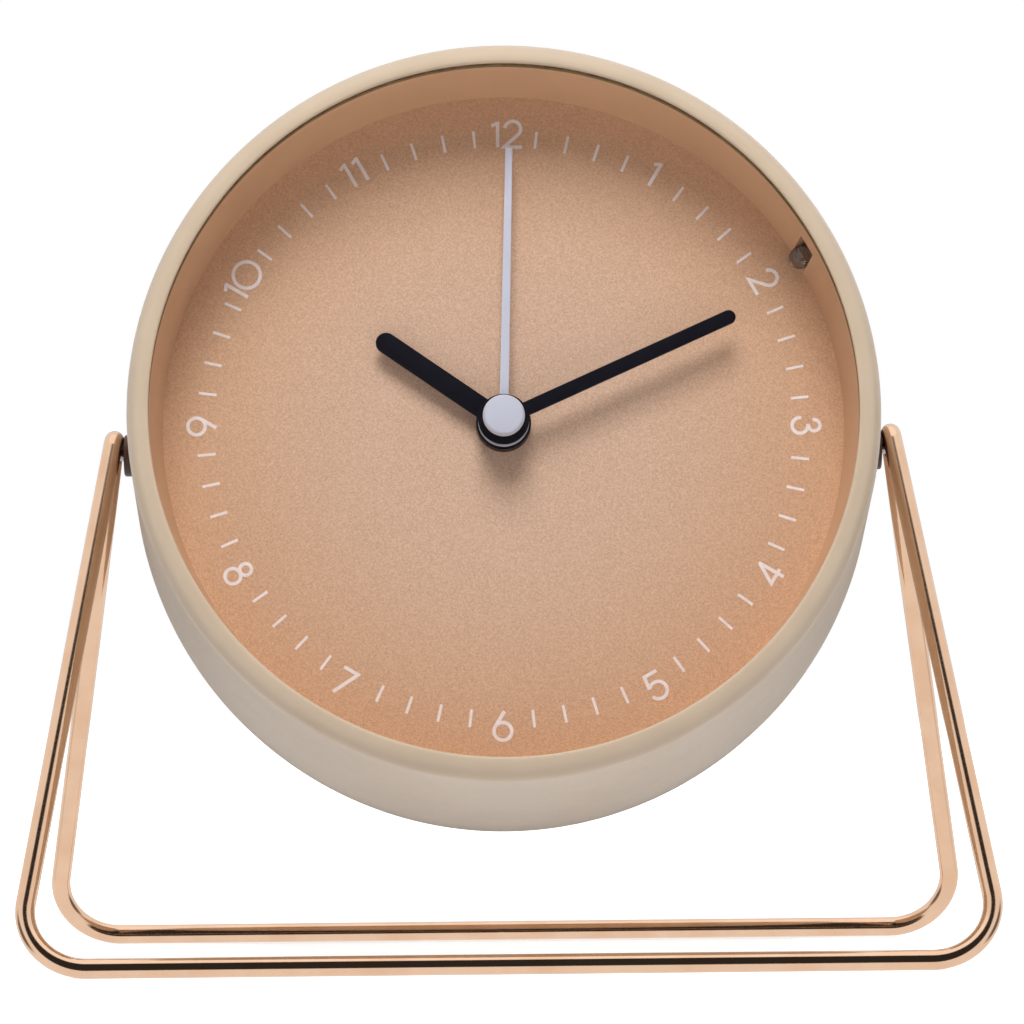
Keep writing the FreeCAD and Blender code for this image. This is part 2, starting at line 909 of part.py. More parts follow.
def make_train():
    places = train_places()
    rotor, fifth, third = places["rotor"], places["fifth"], places["third"]
    centre = (0.0, 0.0)
    rotor_module = 2 * rotor_distance / (rotor_pinion_teeth + fifth_teeth)
    fifth_module = 2 * fifth_distance / (fifth_pinion_teeth + seconds_teeth)
    third_module = 2 * third_distance / (seconds_pinion_teeth + third_teeth)
    centre_module = 2 * third_distance / (third_pinion_teeth + centre_teeth)
    fine_bore = fine_post_dia / 2 + post_clearance

    magnet_y = behind(stator_layer) + stator_thick / 2 - magnet_length / 2
    sleeve = drum(magnet_sleeve_dia / 2, magnet_y, behind(fifth_layer), *rotor)
    pinion = gear(rotor_pinion_teeth, rotor_module, 0.0, fifth_layer, *rotor)
    write_head("rotor_pinion", bored(pinion.fuse(sleeve), fine_bore, *rotor))
    magnet = tube(magnet_dia / 2, magnet_sleeve_dia / 2, magnet_y, magnet_y + magnet_length, *rotor)
    write_head("rotor_magnet", magnet)

    fifth_phase = mesh_phase(0.0, rotor_pinion_teeth, direction_between(rotor, fifth), fifth_teeth)
    wheel = gear(fifth_teeth, rotor_module, fifth_phase, fifth_layer, *fifth)
    outline = gear_outline(fifth_pinion_teeth, fifth_module, fifth_phase, *fifth)
    pinion = prism(outline, behind(seconds_layer), behind(fifth_layer))
    write_head("fifth_wheel", bored(wheel.fuse(pinion), fine_bore, *fifth))

    towards_centre = direction_between(fifth, centre)
    seconds_phase = mesh_phase(fifth_phase, fifth_pinion_teeth, towards_centre, seconds_teeth)
    wheel = gear(seconds_teeth, fifth_module, seconds_phase, seconds_layer, 0, 0)
    outline = gear_outline(seconds_pinion_teeth, third_module, seconds_phase, 0, 0)
    pinion = prism(outline, behind(third_layer), behind(seconds_layer))
    arbor = drum(seconds_arbor_dia / 2, ahead(cap_front - cap_thick / 2), cover_in_y + arbor_in_cover)
    write_head("seconds_wheel", wheel.fuse([pinion, arbor]).removeSplitter())

    towards_third = direction_between(centre, third)
    third_phase = mesh_phase(seconds_phase, seconds_pinion_teeth, towards_third, third_teeth)
    wheel = gear(third_teeth, third_module, third_phase, third_layer, *third)
    outline = gear_outline(third_pinion_teeth, centre_module, third_phase, *third)
    pinion = prism(outline, behind(centre_layer), behind(third_layer))
    write_head("third_wheel", bored(wheel.fuse(pinion), fine_bore, *third))

    towards_centre = direction_between(third, centre)
    centre_phase = mesh_phase(third_phase, third_pinion_teeth, towards_centre, centre_teeth)
    wheel = gear(centre_teeth, centre_module, centre_phase, centre_layer, 0, 0)
    write_head("centre_wheel", bored(wheel, minute_tube_dia / 2 + tube_clearance, 0, 0))


def make_posts():
    places = train_places()
    deep = chassis_back_y - post_seat
    cover_seat = cover_in_y + post_seat
    motion_end = behind(motion_layer + gear_thick + post_past_wheel)
    posts = [
        drum(gear_post_dia / 2, deep, motion_end, *places["motion"]),
        drum(fine_post_dia / 2, deep, cover_seat, *places["third"]),
        drum(fine_post_dia / 2, behind(seconds_layer) - fifth_post_past, cover_seat, *places["fifth"]),
        drum(fine_post_dia / 2, behind(third_layer), cover_seat, *places["rotor"]),
    ]
    write_head("gear_posts", group(posts))


# Chassis plate behind the dial, and the movement cover screwed to it

def board_post_places():
    heights = (board_post_low, board_post_high)
    return [(side * board_post_side, height) for side in (-1, 1) for height in heights]


def cover_ear_places():
    above = cover_top + cover_ear_out
    below = cover_bottom - cover_ear_out
    return [(side * cover_ear_side, height) for side in (-1, 1) for height in (below, above)]


def make_chassis():
    places = train_places()
    plate = drum(ring_outer_radius, chassis_front_y, chassis_back_y)
    posts = [drum(board_post_dia / 2, chassis_back_y, board_front_y, *at) for at in board_post_places()]
    plate = plate.fuse(posts).removeSplitter()
    seat_y = chassis_back_y - post_seat
    screw_y = chassis_back_y - movement_screw_reach
    shaft_hole = knob_shaft_dia / 2 + shaft_clearance
    cuts = [
        drum(hour_tube_dia / 2 + tube_clearance, chassis_front_y - past, chassis_back_y + past),
        drum(gear_post_dia / 2, seat_y, chassis_back_y, *places["motion"]),
        drum(fine_post_dia / 2, seat_y, chassis_back_y, *places["third"]),
        drum(shaft_hole, seat_y, chassis_back_y + past, *places["time_knob"]),
        drum(shaft_hole, seat_y, chassis_back_y + past, *places["alarm_knob"]),
    ]
    notch_y = (chassis_front_y - past, chassis_back_y + past)
    notch = ring_notch(lamp_slot_width, lamp_notch_radius, case_radius, *notch_y)
    cuts.append(turned(notch, lamp_angle))
    for at in board_post_places():
        cuts.append(drum(small_screw_dia / 2, board_front_y - board_screw_reach, board_front_y + past, *at))
    for at in cover_ear_places():
        cuts.append(drum(small_screw_dia / 2, screw_y, chassis_back_y + past, *at))
    write_head("chassis_plate", plate.cut(cuts))


def make_movement_cover():
    places = train_places()
    half, wall = cover_half_width, cover_wall
    ear_back_y = chassis_back_y + cover_ear_thick
    body = block(-half, half, chassis_back_y, cover_back_y, cover_bottom, cover_top)
    for x, z in cover_ear_places():
        toward = z - cover_ear_out if z > 0 else z + cover_ear_out
        ear = drum(cover_ear_radius, chassis_back_y, ear_back_y, x, z)
        web = block(
            x - cover_ear_radius,
            x + cover_ear_radius,
            chassis_back_y,
            ear_back_y,
            min(z, toward),
            max(z, toward),
        )
        body = body.fuse([ear, web])
    body = body.removeSplitter()
    room = block(
        -half + wall,
        half - wall,
        chassis_back_y - past,
        cover_in_y,
        cover_bottom + wall,
        cover_top - wall,
    )
    shaft_hole = knob_shaft_dia / 2 + shaft_clearance
    seat_y = cover_in_y + post_seat
    cuts = [room]
    cuts.append(drum(shaft_hole, cover_in_y - past, cover_back_y + past, *places["time_knob"]))
    cuts.append(drum(shaft_hole, cover_in_y - past, cover_back_y + past, *places["alarm_knob"]))
    cuts.append(drum(seconds_arbor_dia / 2 + tube_clearance, cover_in_y - past, cover_back_y + past))
    for name in ("third", "fifth", "rotor"):
        cuts.append(drum(fine_post_dia / 2, cover_in_y - past, seat_y, *places[name]))
    for at in cover_ear_places():
        cuts.append(drum(small_screw_dia / 2, chassis_back_y - past, ear_back_y + past, *at))
    body = body.cut(cuts)
    stator_back_y = behind(stator_layer) + stator_thick
    supports = [
        drum(stator_post_dia / 2, stator_back_y, cover_in_y, x, z) for x, z in stator_post_places()
    ]
    write_head("movement_cover", body.fuse(supports).removeSplitter())


def stator_post_places():
    core_z = stator_bottom + stator_core / 2
    side = stator_side / 2
    return [
        (stator_left + side, core_z),
        (stator_right - side, core_z),
        (stator_right - side, stator_top - side),
    ]


def screw(x, z, head_y, length, dia, head_dia, head):
    shank = drum(dia / 2, head_y - length, head_y, x, z)
    cap = drum(head_dia / 2, head_y, head_y + head, x, z)
    long, thin = head_dia * screw_drive_share / 2, head_dia * screw_drive_width / 2
    drive_y, end_y = head_y + head / 2, head_y + head + past
    drive = block(x - long, x + long, drive_y, end_y, z - thin, z + thin)
    cross = block(x - thin, x + thin, drive_y, end_y, z - long, z + long)
    return shank.fuse(cap).removeSplitter().cut([drive, cross])


def make_screws():
    ear_back_y = chassis_back_y + cover_ear_thick
    small = (small_screw_dia, small_screw_head_dia, small_screw_head)
    length = cover_ear_thick + movement_screw_reach
    ears = [screw(x, z, ear_back_y, length, *small) for x, z in cover_ear_places()]
    write_head("movement_screws", group(ears))
    length = board_thick + board_screw_reach
    posts = [screw(x, z, board_back_y, length, *small) for x, z in board_post_places()]
    write_head("board_screws", group(posts))
    large = (cover_screw_dia, cover_screw_head_dia, cover_screw_head)
    seat_y = back_out_y - cover_screw_head
    covers = [
        at_angle(screw(screw_circle, 0, seat_y, cover_screw_length, *large), degrees)
        for degrees in screw_angles()
    ]
    write_head("cover_screws", group(covers))


# Motor: a stator plate with its coil

def make_motor():
    places = train_places()
    front = behind(stator_layer)
    back = front + stator_thick
    core_top = stator_bottom + stator_core
    plate = block(stator_left, stator_right, front, back, stator_bottom, stator_top)
    window = block(
        stator_left + stator_side,
        stator_right - stator_side,
        front - past,
        back + past,
        core_top,
        stator_top - stator_pole,
    )
    gap = drum(stator_gap_dia / 2, front - past, back + past, *places["rotor"])
    write_head("stator_plate", plate.cut([window, gap]))

    middle_x = (stator_left + stator_right) / 2
    middle_y = (front + back) / 2
    middle_z = stator_bottom + stator_core / 2
    flat, tall = stator_thick / 2, stator_core / 2

    def sleeve(half_length, half_y, half_z):
        return block(
            middle_x - half_length,
            middle_x + half_length,
            middle_y - half_y,
            middle_y + half_y,
            middle_z - half_z,
            middle_z + half_z,
        )

    half_length = coil_length / 2
    flange = coil_dia / 2
    barrel = sleeve(half_length, flat + bobbin_wall, tall + bobbin_wall)
    between = sleeve(half_length, flange + past, flange + past)
    ends = sleeve(half_length + bobbin_flange, flange, flange).cut(between)
    core = sleeve(half_length + bobbin_flange + past, flat, tall)
    bobbin = barrel.fuse(ends.Solids).removeSplitter().cut(core)
    write_head("coil_bobbin", bobbin)
    axis_start = V(middle_x - half_length, middle_y, middle_z)
    winding = Part.makeCylinder(coil_dia / 2 - coil_below_flange, coil_length, axis_start, V(1, 0, 0))
    write_head("coil_winding", winding.cut(barrel))


# Circuit board and what is soldered to it

def make_board():
    places = train_places()
    plate = drum(board_radius, board_front_y, board_back_y)
    radius = board_radius
    plate = plate.cut(block(-radius, radius, board_front_y, board_back_y, -radius, board_bottom))
    shaft_hole = knob_shaft_dia / 2 + shaft_board_clearance
    front, back = board_front_y - past, board_back_y + past
    holes = [
        drum(shaft_hole, front, back, *places["time_knob"]),
        drum(shaft_hole, front, back, *places["alarm_knob"]),
    ]
    for at in board_post_places():
        holes.append(drum(small_screw_dia / 2, front, back, *at))
    for side in (-lamp_lead_pitch / 2, lamp_lead_pitch / 2):
        lead = drum(lamp_lead_dia / 2, front, back, side, lamp_lead_radius)
        holes.append(turned(lead, lamp_angle))
    write_head("circuit_board", plate.cut(holes))

    chip = drum(chip_dia / 2, board_back_y, board_back_y + chip_high, chip_x, chip_z)
    chip = chip.makeFillet(chip_round, [e for e in chip.Edges if e.BoundBox.YMin > board_back_y])
    write_head("timing_chip", chip)
    can_y = board_back_y + crystal_dia / 2
    can = Part.makeCylinder(crystal_dia / 2, crystal_length, V(crystal_x, can_y, crystal_z), V(1, 0, 0))
    write_head("crystal_can", can)


def make_buzzer():
    back = back_in_y - buzzer_ring_height
    plate = drum(buzzer_dia / 2, back - buzzer_thick, back, buzzer_side, buzzer_height)
    write_head("buzzer_plate", plate)
    front = back - buzzer_thick - buzzer_ceramic_thick
    disc = drum(buzzer_ceramic_dia / 2, front, back - buzzer_thick, buzzer_side, buzzer_height)
    write_head("buzzer_ceramic", disc)
    radius = buzzer_pin_dia / 2
    pins = [
        drum(radius, board_back_y, front, buzzer_side, buzzer_height),
        drum(radius, board_back_y, back - buzzer_thick, buzzer_side + buzzer_pin_apart, buzzer_height),
    ]
    write_head("buzzer_pins", group(pins))


# Battery cell and its two leaf contacts

def make_battery():
    half = (cell_length + cell_nub) / 2
    start = V(-half, cell_y, cell_z)
    can = Part.makeCylinder(cell_dia / 2, cell_length, start, V(1, 0, 0))
    can = can.makeFillet(cell_edge, [e for e in can.Edges if e.Curve.TypeId == "Part::GeomCircle"])
    nub_start = V(-half + cell_length, cell_y, cell_z)
    nub = Part.makeCylinder(cell_nub_dia / 2, cell_nub, nub_start, V(1, 0, 0))
    write_head("battery_cell", can.fuse(nub).removeSplitter())
    leaf = contact_leaf(half)
    write_head("positive_contact", leaf)
    write_head("negative_contact", mirrored(leaf))


def contact_leaf(cell_end):
    outer = bay_half_length
    inner = outer - contact_thick
    high = contact_width / 2
    reach = contact_height
    top = cell_z + reach
    plate = block(inner, outer, cell_y - high, cell_y + high, cell_z - reach, top)
    bow = prism_z(
        [
            (inner, cell_y - high),
            (cell_end, cell_y - contact_bow),
            (cell_end, cell_y + contact_bow),
            (inner, cell_y + high),
            (inner, cell_y + high - contact_thick),
            (cell_end + contact_thick, cell_y + contact_bow),
            (cell_end + contact_thick, cell_y - contact_bow),
            (inner, cell_y - high + contact_thick),
        ],
        cell_z - contact_bow,
        cell_z + contact_bow,
    )
    tail = block(inner, outer, board_back_y, board_back_y + contact_tail_width, top, contact_tail_top)
    step = block(inner, outer, board_back_y, cell_y + high, top - contact_tail_width, top)
    return plate.fuse([bow, tail, step]).removeSplitter()


# Back cover with its skirt, battery bay, buzzer ring and openings

def back_panel():
    panel = drum(back_radius, back_in_y, back_out_y)
    edges = [e for e in panel.Edges if e.BoundBox.YMin > back_out_y - back_chamfer]
    return panel.makeChamfer(back_chamfer, edges)


def back_skirt():
    front = chassis_back_y + skirt_to_chassis
    skirt = tube(back_radius, skirt_inner, front, back_in_y)
    low, high = front - past, back_in_y
    tab_notch = ring_notch(case_tab_width + 2 * skirt_notch_side, skirt_inner - past, case_radius, low, high)
    pivot_notch = ring_notch(pivot_notch_width, skirt_inner - past, case_radius, low, high)
    lamp_notch = ring_notch(lamp_notch_width, skirt_inner - past, case_radius, low, high)
    notches = [turned(tab_notch, 90 - degrees) for degrees in screw_angles()]
    notches += [turned(pivot_notch, 90), turned(pivot_notch, -90), turned(lamp_notch, lamp_angle)]
    return skirt.cut(notches)


def bay_box(margin, y0, y1):
    half, high = bay_half_length + margin, bay_half_height + margin
    return block(-half, half, y0, y1, cell_z - high, cell_z + high)


def door_box(margin, y0, y1):
    return bay_box(door_ledge + margin, y0, y1)


def door_bottom_z():
    return cell_z - bay_half_height - door_ledge


def door_tab_boxes(margin, y0, y1, z0, z1):
    half = door_tab_width / 2 + margin
    return [block(x - half, x + half, y0, y1, z0, z1) for x in (-door_tab_side, door_tab_side)]


def sound_slots():
    slots = []
    for index in range(slot_count):
        across = (index - (slot_count - 1) / 2) * slot_pitch
        half = math.sqrt(slot_circle ** 2 - across ** 2) - slot_width / 2
        x = buzzer_side + across
        radius = slot_width / 2
        y0, y1 = back_in_y - past, back_out_y + past
        body = block(x - radius, x + radius, y0, y1, buzzer_height - half, buzzer_height + half)
        ends = [drum(radius, y0, y1, x, buzzer_height + end) for end in (-half, half)]
        slots.append(body.fuse(ends))
    return slots


def make_back_cover():
    places = train_places()
    bosses = [
        at_angle(drum(back_boss_dia / 2, tab_back_y, back_in_y, screw_circle, 0), degrees)
        for degrees in screw_angles()
    ]
    bosses = [boss.common(drum(skirt_inner, tab_back_y, back_in_y)) for boss in bosses]
    knob_bosses = [
        drum(shaft_boss_dia / 2, back_in_y - shaft_boss_height, back_in_y, *places[name])
        for name in ("time_knob", "alarm_knob")
    ]
    ring_front = back_in_y - buzzer_ring_height
    bore = buzzer_ring_bore / 2
    ring = tube(buzzer_dia / 2, bore, ring_front, back_in_y, buzzer_side, buzzer_height)
    bay = bay_box(bay_wall, bay_front_y - bay_wall, back_in_y).cut(bay_box(0, bay_front_y, back_in_y + past))
    body = back_panel().fuse([back_skirt(), ring, bay] + bosses + knob_bosses).removeSplitter()

    recess_y = back_out_y - door_thick - door_under
    tab_front_y = back_out_y - door_thick - door_tab_depth - door_swing_room
    tab_low_z = door_bottom_z() - door_tab_below - door_tab_clearance
    tab_high_z = cell_z - bay_half_height + door_tab_clearance
    cuts = [
        bay_box(0, back_in_y - past, back_out_y + past),
        door_box(door_clearance, recess_y, back_out_y + past),
    ]
    tab_back = back_out_y - door_thick + door_under
    cuts += door_tab_boxes(door_tab_clearance, tab_front_y, tab_back, tab_low_z, tab_high_z)
    cuts += sound_slots()
    for name in ("time_knob", "alarm_knob"):
        hole = knob_shaft_dia / 2 + shaft_clearance
        cuts.append(drum(hole, back_in_y - shaft_boss_height - past, back_out_y + past, *places[name]))
    hole_radius = cover_screw_dia / 2 + screw_clearance
    sink_radius = cover_screw_head_dia / 2 + screw_clearance
    end_y = back_out_y + past
    for degrees in screw_angles():
        hole = drum(hole_radius, tab_back_y - past, end_y, screw_circle)
        sink = drum(sink_radius, back_out_y - cover_screw_head, end_y, screw_circle)
        cuts += [at_angle(hole, degrees), at_angle(sink, degrees)]
    cuts.append(
        rounded_block(
            key_width / 2 + key_clearance,
            key_high / 2 + key_clearance,
            key_round + key_clearance,
            back_in_y - past,
            back_out_y + past,
            0,
            key_centre,
        )
    )
    slot_half = switch_neck / 2 + switch_clearance
    low_z, high_z = switch_height - slot_half, switch_height + switch_travel + slot_half
    x0, x1 = switch_side - slot_half, switch_side + slot_half
    cuts.append(block(x0, x1, back_in_y - past, back_out_y + past, low_z, high_z))
    tail_room = contact_side_gap
    for side in (-1, 1):
        inner, outer = bay_half_length - contact_thick - tail_room, bay_half_length
        x0, x1 = sorted((side * inner, side * outer))
        y1 = board_back_y + contact_tail_width + tail_room
        z0 = cell_z + bay_half_height - past
        cuts.append(block(x0, x1, board_back_y - tail_room, y1, z0, z0 + bay_wall + 2 * past))
    write_head("back_cover", body.cut(cuts).removeSplitter())


def make_battery_door():
    panel = door_box(0, back_out_y - door_thick, back_out_y)
    inner_y = back_out_y - door_thick
    tabs = door_tab_boxes(
        0,
        inner_y - door_tab_depth,
        inner_y,
        door_bottom_z() - door_tab_below,
        door_bottom_z() + door_tab_above,
    )
    grip_z = cell_z + bay_half_height + door_ledge - door_grip_drop
    grip_start = V(-door_grip_width / 2, back_out_y + door_grip_dia / 2 - door_grip_depth, grip_z)
    grip = Part.makeCylinder(door_grip_dia / 2, door_grip_width, grip_start, V(1, 0, 0))
    write_head("battery_door", panel.fuse(tabs).removeSplitter().cut(grip))


# Light key and alarm slider on the back, with the switches they work

def make_light_key():
    flange_y = back_in_y - key_under
    inner_y = flange_y - key_flange_thick
    key = rounded_block(
        key_width / 2, key_high / 2, key_round, inner_y, back_out_y + key_proud, 0, key_centre
    )
    flange = rounded_block(
        key_width / 2 + key_flange, key_high / 2 + key_flange, key_round, inner_y, flange_y, 0, key_centre
    )
    switch_back_y = board_back_y + light_switch_high
    plunger_end = switch_back_y + plunger_length
    stem = drum(key_stem_dia / 2, plunger_end, inner_y, 0, key_centre)
    write_head("light_key", key.fuse([flange, stem]).removeSplitter())
    plunger_start = switch_back_y - plunger_seat
    write_head("light_plunger", drum(plunger_dia / 2, plunger_start, plunger_end, 0, key_centre))
    half = light_switch_side / 2
    body = block(-half, half, board_back_y, switch_back_y, key_centre - half, key_centre + half)
    well_y = plunger_start - key_travel - plunger_seat
    well = drum(plunger_dia / 2 + plunger_clearance, well_y, switch_back_y + past, 0, key_centre)
    write_head("light_switch", body.cut(well))


def make_alarm_switch():
    plate_y = back_in_y - key_under
    inner_y = plate_y - switch_plate_thick
    half_x, half_z = switch_width / 2, switch_high / 2
    grip = rounded_block(
        half_x,
        half_z,
        switch_round,
        back_out_y + key_under,
        back_out_y + switch_proud,
        switch_side,
        switch_height,
    )
    neck_half = switch_neck / 2
    x, z = switch_side, switch_height
    grip_y = back_out_y + key_under
    neck = block(x - neck_half, x + neck_half, inner_y, grip_y, z - neck_half, z + neck_half)
    plate_x, plate_z = half_x + switch_plate_margin, half_z + switch_plate_margin
    plate = block(x - plate_x, x + plate_x, inner_y, plate_y, z - plate_z, z + plate_z)
    body_back_y = board_back_y + switch_body_deep
    stem_half = switch_stem / 2
    stem_y = body_back_y - switch_stem_in
    stem = block(x - stem_half, x + stem_half, stem_y, inner_y, z - stem_half, z + stem_half)
    write_head("alarm_slider", grip.fuse([neck, plate, stem]).removeSplitter())

    middle_z = z + switch_travel / 2
    half_body = switch_body_high / 2
    body = block(
        x - switch_body_width / 2,
        x + switch_body_width / 2,
        board_back_y,
        body_back_y,
        middle_z - half_body,
        middle_z + half_body,
    )
    slot_x = stem_half + switch_clearance
    slot_z = stem_half + switch_travel / 2 + switch_clearance
    slot_y = body_back_y - switch_stem_in - switch_clearance
    slot = block(x - slot_x, x + slot_x, slot_y, body_back_y + past, middle_z - slot_z, middle_z + slot_z)
    write_head("slide_switch", body.cut(slot))


make_stand()
make_pivots()
make_case()
make_window()
make_inner_ring()
make_dial()
make_lamp()
make_hands()
make_motion_work()
make_alarm_work()
make_train()
make_posts()
make_chassis()
make_movement_cover()
make_screws()
make_motor()
make_board()
make_buzzer()
make_battery()
make_back_cover()
make_battery_door()
make_light_key()
make_alarm_switch()
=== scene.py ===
import json
import math
import bmesh
import bpy
from mathutils import Matrix, Vector


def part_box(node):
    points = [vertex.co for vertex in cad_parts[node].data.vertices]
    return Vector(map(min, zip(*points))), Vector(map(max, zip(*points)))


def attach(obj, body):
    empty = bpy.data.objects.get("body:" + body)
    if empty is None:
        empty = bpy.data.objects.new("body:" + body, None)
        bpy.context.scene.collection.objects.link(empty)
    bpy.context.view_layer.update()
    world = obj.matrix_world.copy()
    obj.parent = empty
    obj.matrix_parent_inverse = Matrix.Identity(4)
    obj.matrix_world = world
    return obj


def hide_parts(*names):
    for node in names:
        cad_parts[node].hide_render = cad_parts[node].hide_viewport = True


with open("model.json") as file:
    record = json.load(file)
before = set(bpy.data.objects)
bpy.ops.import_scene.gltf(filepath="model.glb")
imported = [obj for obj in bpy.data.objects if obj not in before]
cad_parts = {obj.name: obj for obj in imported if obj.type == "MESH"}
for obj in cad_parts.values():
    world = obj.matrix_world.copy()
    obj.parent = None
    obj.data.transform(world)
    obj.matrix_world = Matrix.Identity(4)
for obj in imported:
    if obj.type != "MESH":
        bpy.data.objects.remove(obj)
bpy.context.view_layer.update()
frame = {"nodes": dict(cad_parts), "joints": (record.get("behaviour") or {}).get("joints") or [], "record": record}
millimetre = 0.001


def linkObject(name, data):
    made = bpy.data.objects.new(name, data)
    bpy.context.scene.collection.objects.link(made)
    return made


# Camera: the photograph's own view, slightly left of the middle and level with the lower dial
cameraSet = {
    "place": (-0.0059, -0.7767, 0.0497),
    "turn": (90.818, 0.564, -0.513),
    "lens": 199.3,
    "sensor": 36.0,
    "nearest": 0.05,
    "farthest": 50.0,
}
cameraData = bpy.data.cameras.new("camera")
cameraData.lens = cameraSet["lens"]
cameraData.sensor_width = cameraSet["sensor"]
cameraData.clip_start = cameraSet["nearest"]
cameraData.clip_end = cameraSet["farthest"]
camera = linkObject("camera", cameraData)
camera.location = cameraSet["place"]
camera.rotation_euler = [math.radians(angle) for angle in cameraSet["turn"]]
bpy.context.scene.camera = camera
bpy.context.scene.view_settings.view_transform = "Standard"
print("camera placed")


# Adds one node. A value is a socket to link, the number for an input, or a property of the node.
def addNode(tree, kind, values=None):
    node = tree.nodes.new(kind)
    for name, value in (values or {}).items():
        if isinstance(value, bpy.types.NodeSocket):
            tree.links.new(value, node.inputs[name])
        elif isinstance(name, int) or name in node.inputs:
            node.inputs[name].default_value = value
        else:
            setattr(node, name, value)
    return node


# One calculation on sockets or numbers
def addMath(tree, operation, *values):
    return addNode(tree, "ShaderNodeMath", {"operation": operation, **dict(enumerate(values))}).outputs[0]


# Carries a value over from one range to another, and no further; the ends may be sockets
def addRange(tree, value, source=(0.0, 1.0), target=(0.0, 1.0), smooth=False):
    node = addNode(tree, "ShaderNodeMapRange", {
        "interpolation_type": "SMOOTHSTEP" if smooth else "LINEAR",
        "Value": value,
        "From Min": source[0],
        "From Max": source[1],
        "To Min": target[0],
        "To Max": target[1],
    })
    return node.outputs[0]


# sRGB hex to linear colour
def paint(code):
    parts = [int(code[i:i + 2], 16) / 255 for i in (1, 3, 5)]
    return [c / 12.92 if c <= 0.04045 else ((c + 0.055) / 1.055) ** 2.4 for c in parts] + [1.0]


# Studio: a light tent, open towards the lens, with a large soft lamp above the front and one behind.
# Light is the tent as matt surfaces feel it, gloss is the tent as metal and varnish mirror it.
studioSet = {
    "tentLight": 0.24,
    "openingLight": 0.08,
    "tentGloss": 0.92,
    "roofGloss": 0.2,
    "roofEdge": (0.80, 0.90),
    "openingGloss": 0.03,
    "openingAim": (0.0, -0.951, 0.309),
    "openingEdge": (0.72, 0.80),
    "sideGap": (0.90, 0.985),
    "sideGapDepth": 0.85,
    "lampAim": (0.0, 0.0, 0.07),
    "lamps": {
        "softLamp": {"place": (-0.05, -0.56, 0.91), "size": 0.48, "power": 9.4},
        "rearLamp": {"place": (0.5, 1.05, 0.5), "size": 0.7, "power": 8.0},
    },
    "floorSize": 8.0,
    "floorColour": "#ececec",
    "glowNear": 0.64,
    "glowFar": 0.85,
    "glowEdge": (0.35, 1.2),
}


def raiseTent(studio):
    world = bpy.data.worlds.new("lightTent")
    bpy.context.scene.world = world
    world.use_nodes = True
    tree = world.node_tree
    tree.nodes.clear()
    ray = addNode(tree, "ShaderNodeLightPath").outputs
    heading = addNode(tree, "ShaderNodeTexCoord").outputs["Generated"]
    axes = addNode(tree, "ShaderNodeSeparateXYZ", {0: heading}).outputs
    towardsLens = addNode(tree, "ShaderNodeVectorMath", {
        "operation": "DOT_PRODUCT", 0: heading, 1: studio["openingAim"],
    }).outputs["Value"]
    opening = addRange(tree, towardsLens, studio["openingEdge"], smooth=True)
    across = addMath(tree, "MAXIMUM", addMath(tree, "ABSOLUTE", axes["X"]), axes["Y"])
    gap = addRange(tree, across, studio["sideGap"], (0.0, studio["sideGapDepth"]), smooth=True)
    dark = addMath(tree, "MAXIMUM", opening, gap)
    walls = addRange(tree, dark, target=(studio["tentGloss"], studio["openingGloss"]))
    roof = addRange(tree, axes["Z"], studio["roofEdge"], (0.0, studio["roofGloss"]), smooth=True)
    gloss = addMath(tree, "ADD", walls, roof)
    light = addRange(tree, opening, target=(studio["tentLight"], studio["openingLight"]))
    tent = addRange(tree, ray["Is Glossy Ray"], target=(light, gloss))
    seen = addMath(tree, "MAXIMUM", ray["Is Camera Ray"], ray["Is Transmission Ray"])
    strength = addRange(tree, seen, target=(tent, 1.0))
    backdrop = addNode(tree, "ShaderNodeBackground", {"Color": (1, 1, 1, 1), "Strength": strength})
    addNode(tree, "ShaderNodeOutputWorld", {"Surface": backdrop.outputs[0]})


def hangLamps(studio):
    for name, spec in studio["lamps"].items():
        lampData = bpy.data.lights.new(name, "AREA")
        lampData.shape = "SQUARE"
        lampData.size = spec["size"]
        lampData.energy = spec["power"]
        lamp = linkObject(name, lampData)
        lamp.location = spec["place"]
        lamp.rotation_euler = (Vector(studio["lampAim"]) - lamp.location).to_track_quat("-Z", "Y").to_euler()
        lamp.visible_glossy = False  # metal mirrors the tent, not the lamps


# The floor is matt white, glows for the lens so that it fades into the backdrop, and stays out of mirrors
def layFloor(studio):
    mesh = bpy.data.meshes.new("floor")
    side = studio["floorSize"] / 2
    corners = [(-side, -side, 0), (side, -side, 0), (side, side, 0), (-side, side, 0)]
    mesh.from_pydata(corners, [], [range(len(corners))])
    floor = linkObject("floor", mesh)
    sweep = bpy.data.materials.new("whiteSweep")
    sweep.use_nodes = True
    tree = sweep.node_tree
    tree.nodes.clear()
    ray = addNode(tree, "ShaderNodeLightPath").outputs
    matt = addNode(tree, "ShaderNodeBsdfDiffuse", {"Color": paint(studio["floorColour"])})
    place = addNode(tree, "ShaderNodeTexCoord").outputs["Object"]
    away = addNode(tree, "ShaderNodeVectorMath", {"operation": "LENGTH", 0: place}).outputs["Value"]
    level = addRange(tree, away, studio["glowEdge"], (studio["glowNear"], studio["glowFar"]))
    glow = addNode(tree, "ShaderNodeEmission", {
        "Strength": addMath(tree, "MULTIPLY", ray["Is Camera Ray"], level),
    })
    lit = addNode(tree, "ShaderNodeAddShader", {0: matt.outputs[0], 1: glow.outputs[0]})
    mirrored = addMath(tree, "MAXIMUM", ray["Is Glossy Ray"], ray["Is Transmission Ray"])
    beyond = addNode(tree, "ShaderNodeBsdfTransparent")
    cover = addNode(tree, "ShaderNodeMixShader", {0: mirrored, 1: lit.outputs[0], 2: beyond.outputs[0]})
    addNode(tree, "ShaderNodeOutputMaterial", {"Surface": cover.outputs[0]})
    mesh.materials.append(sweep)


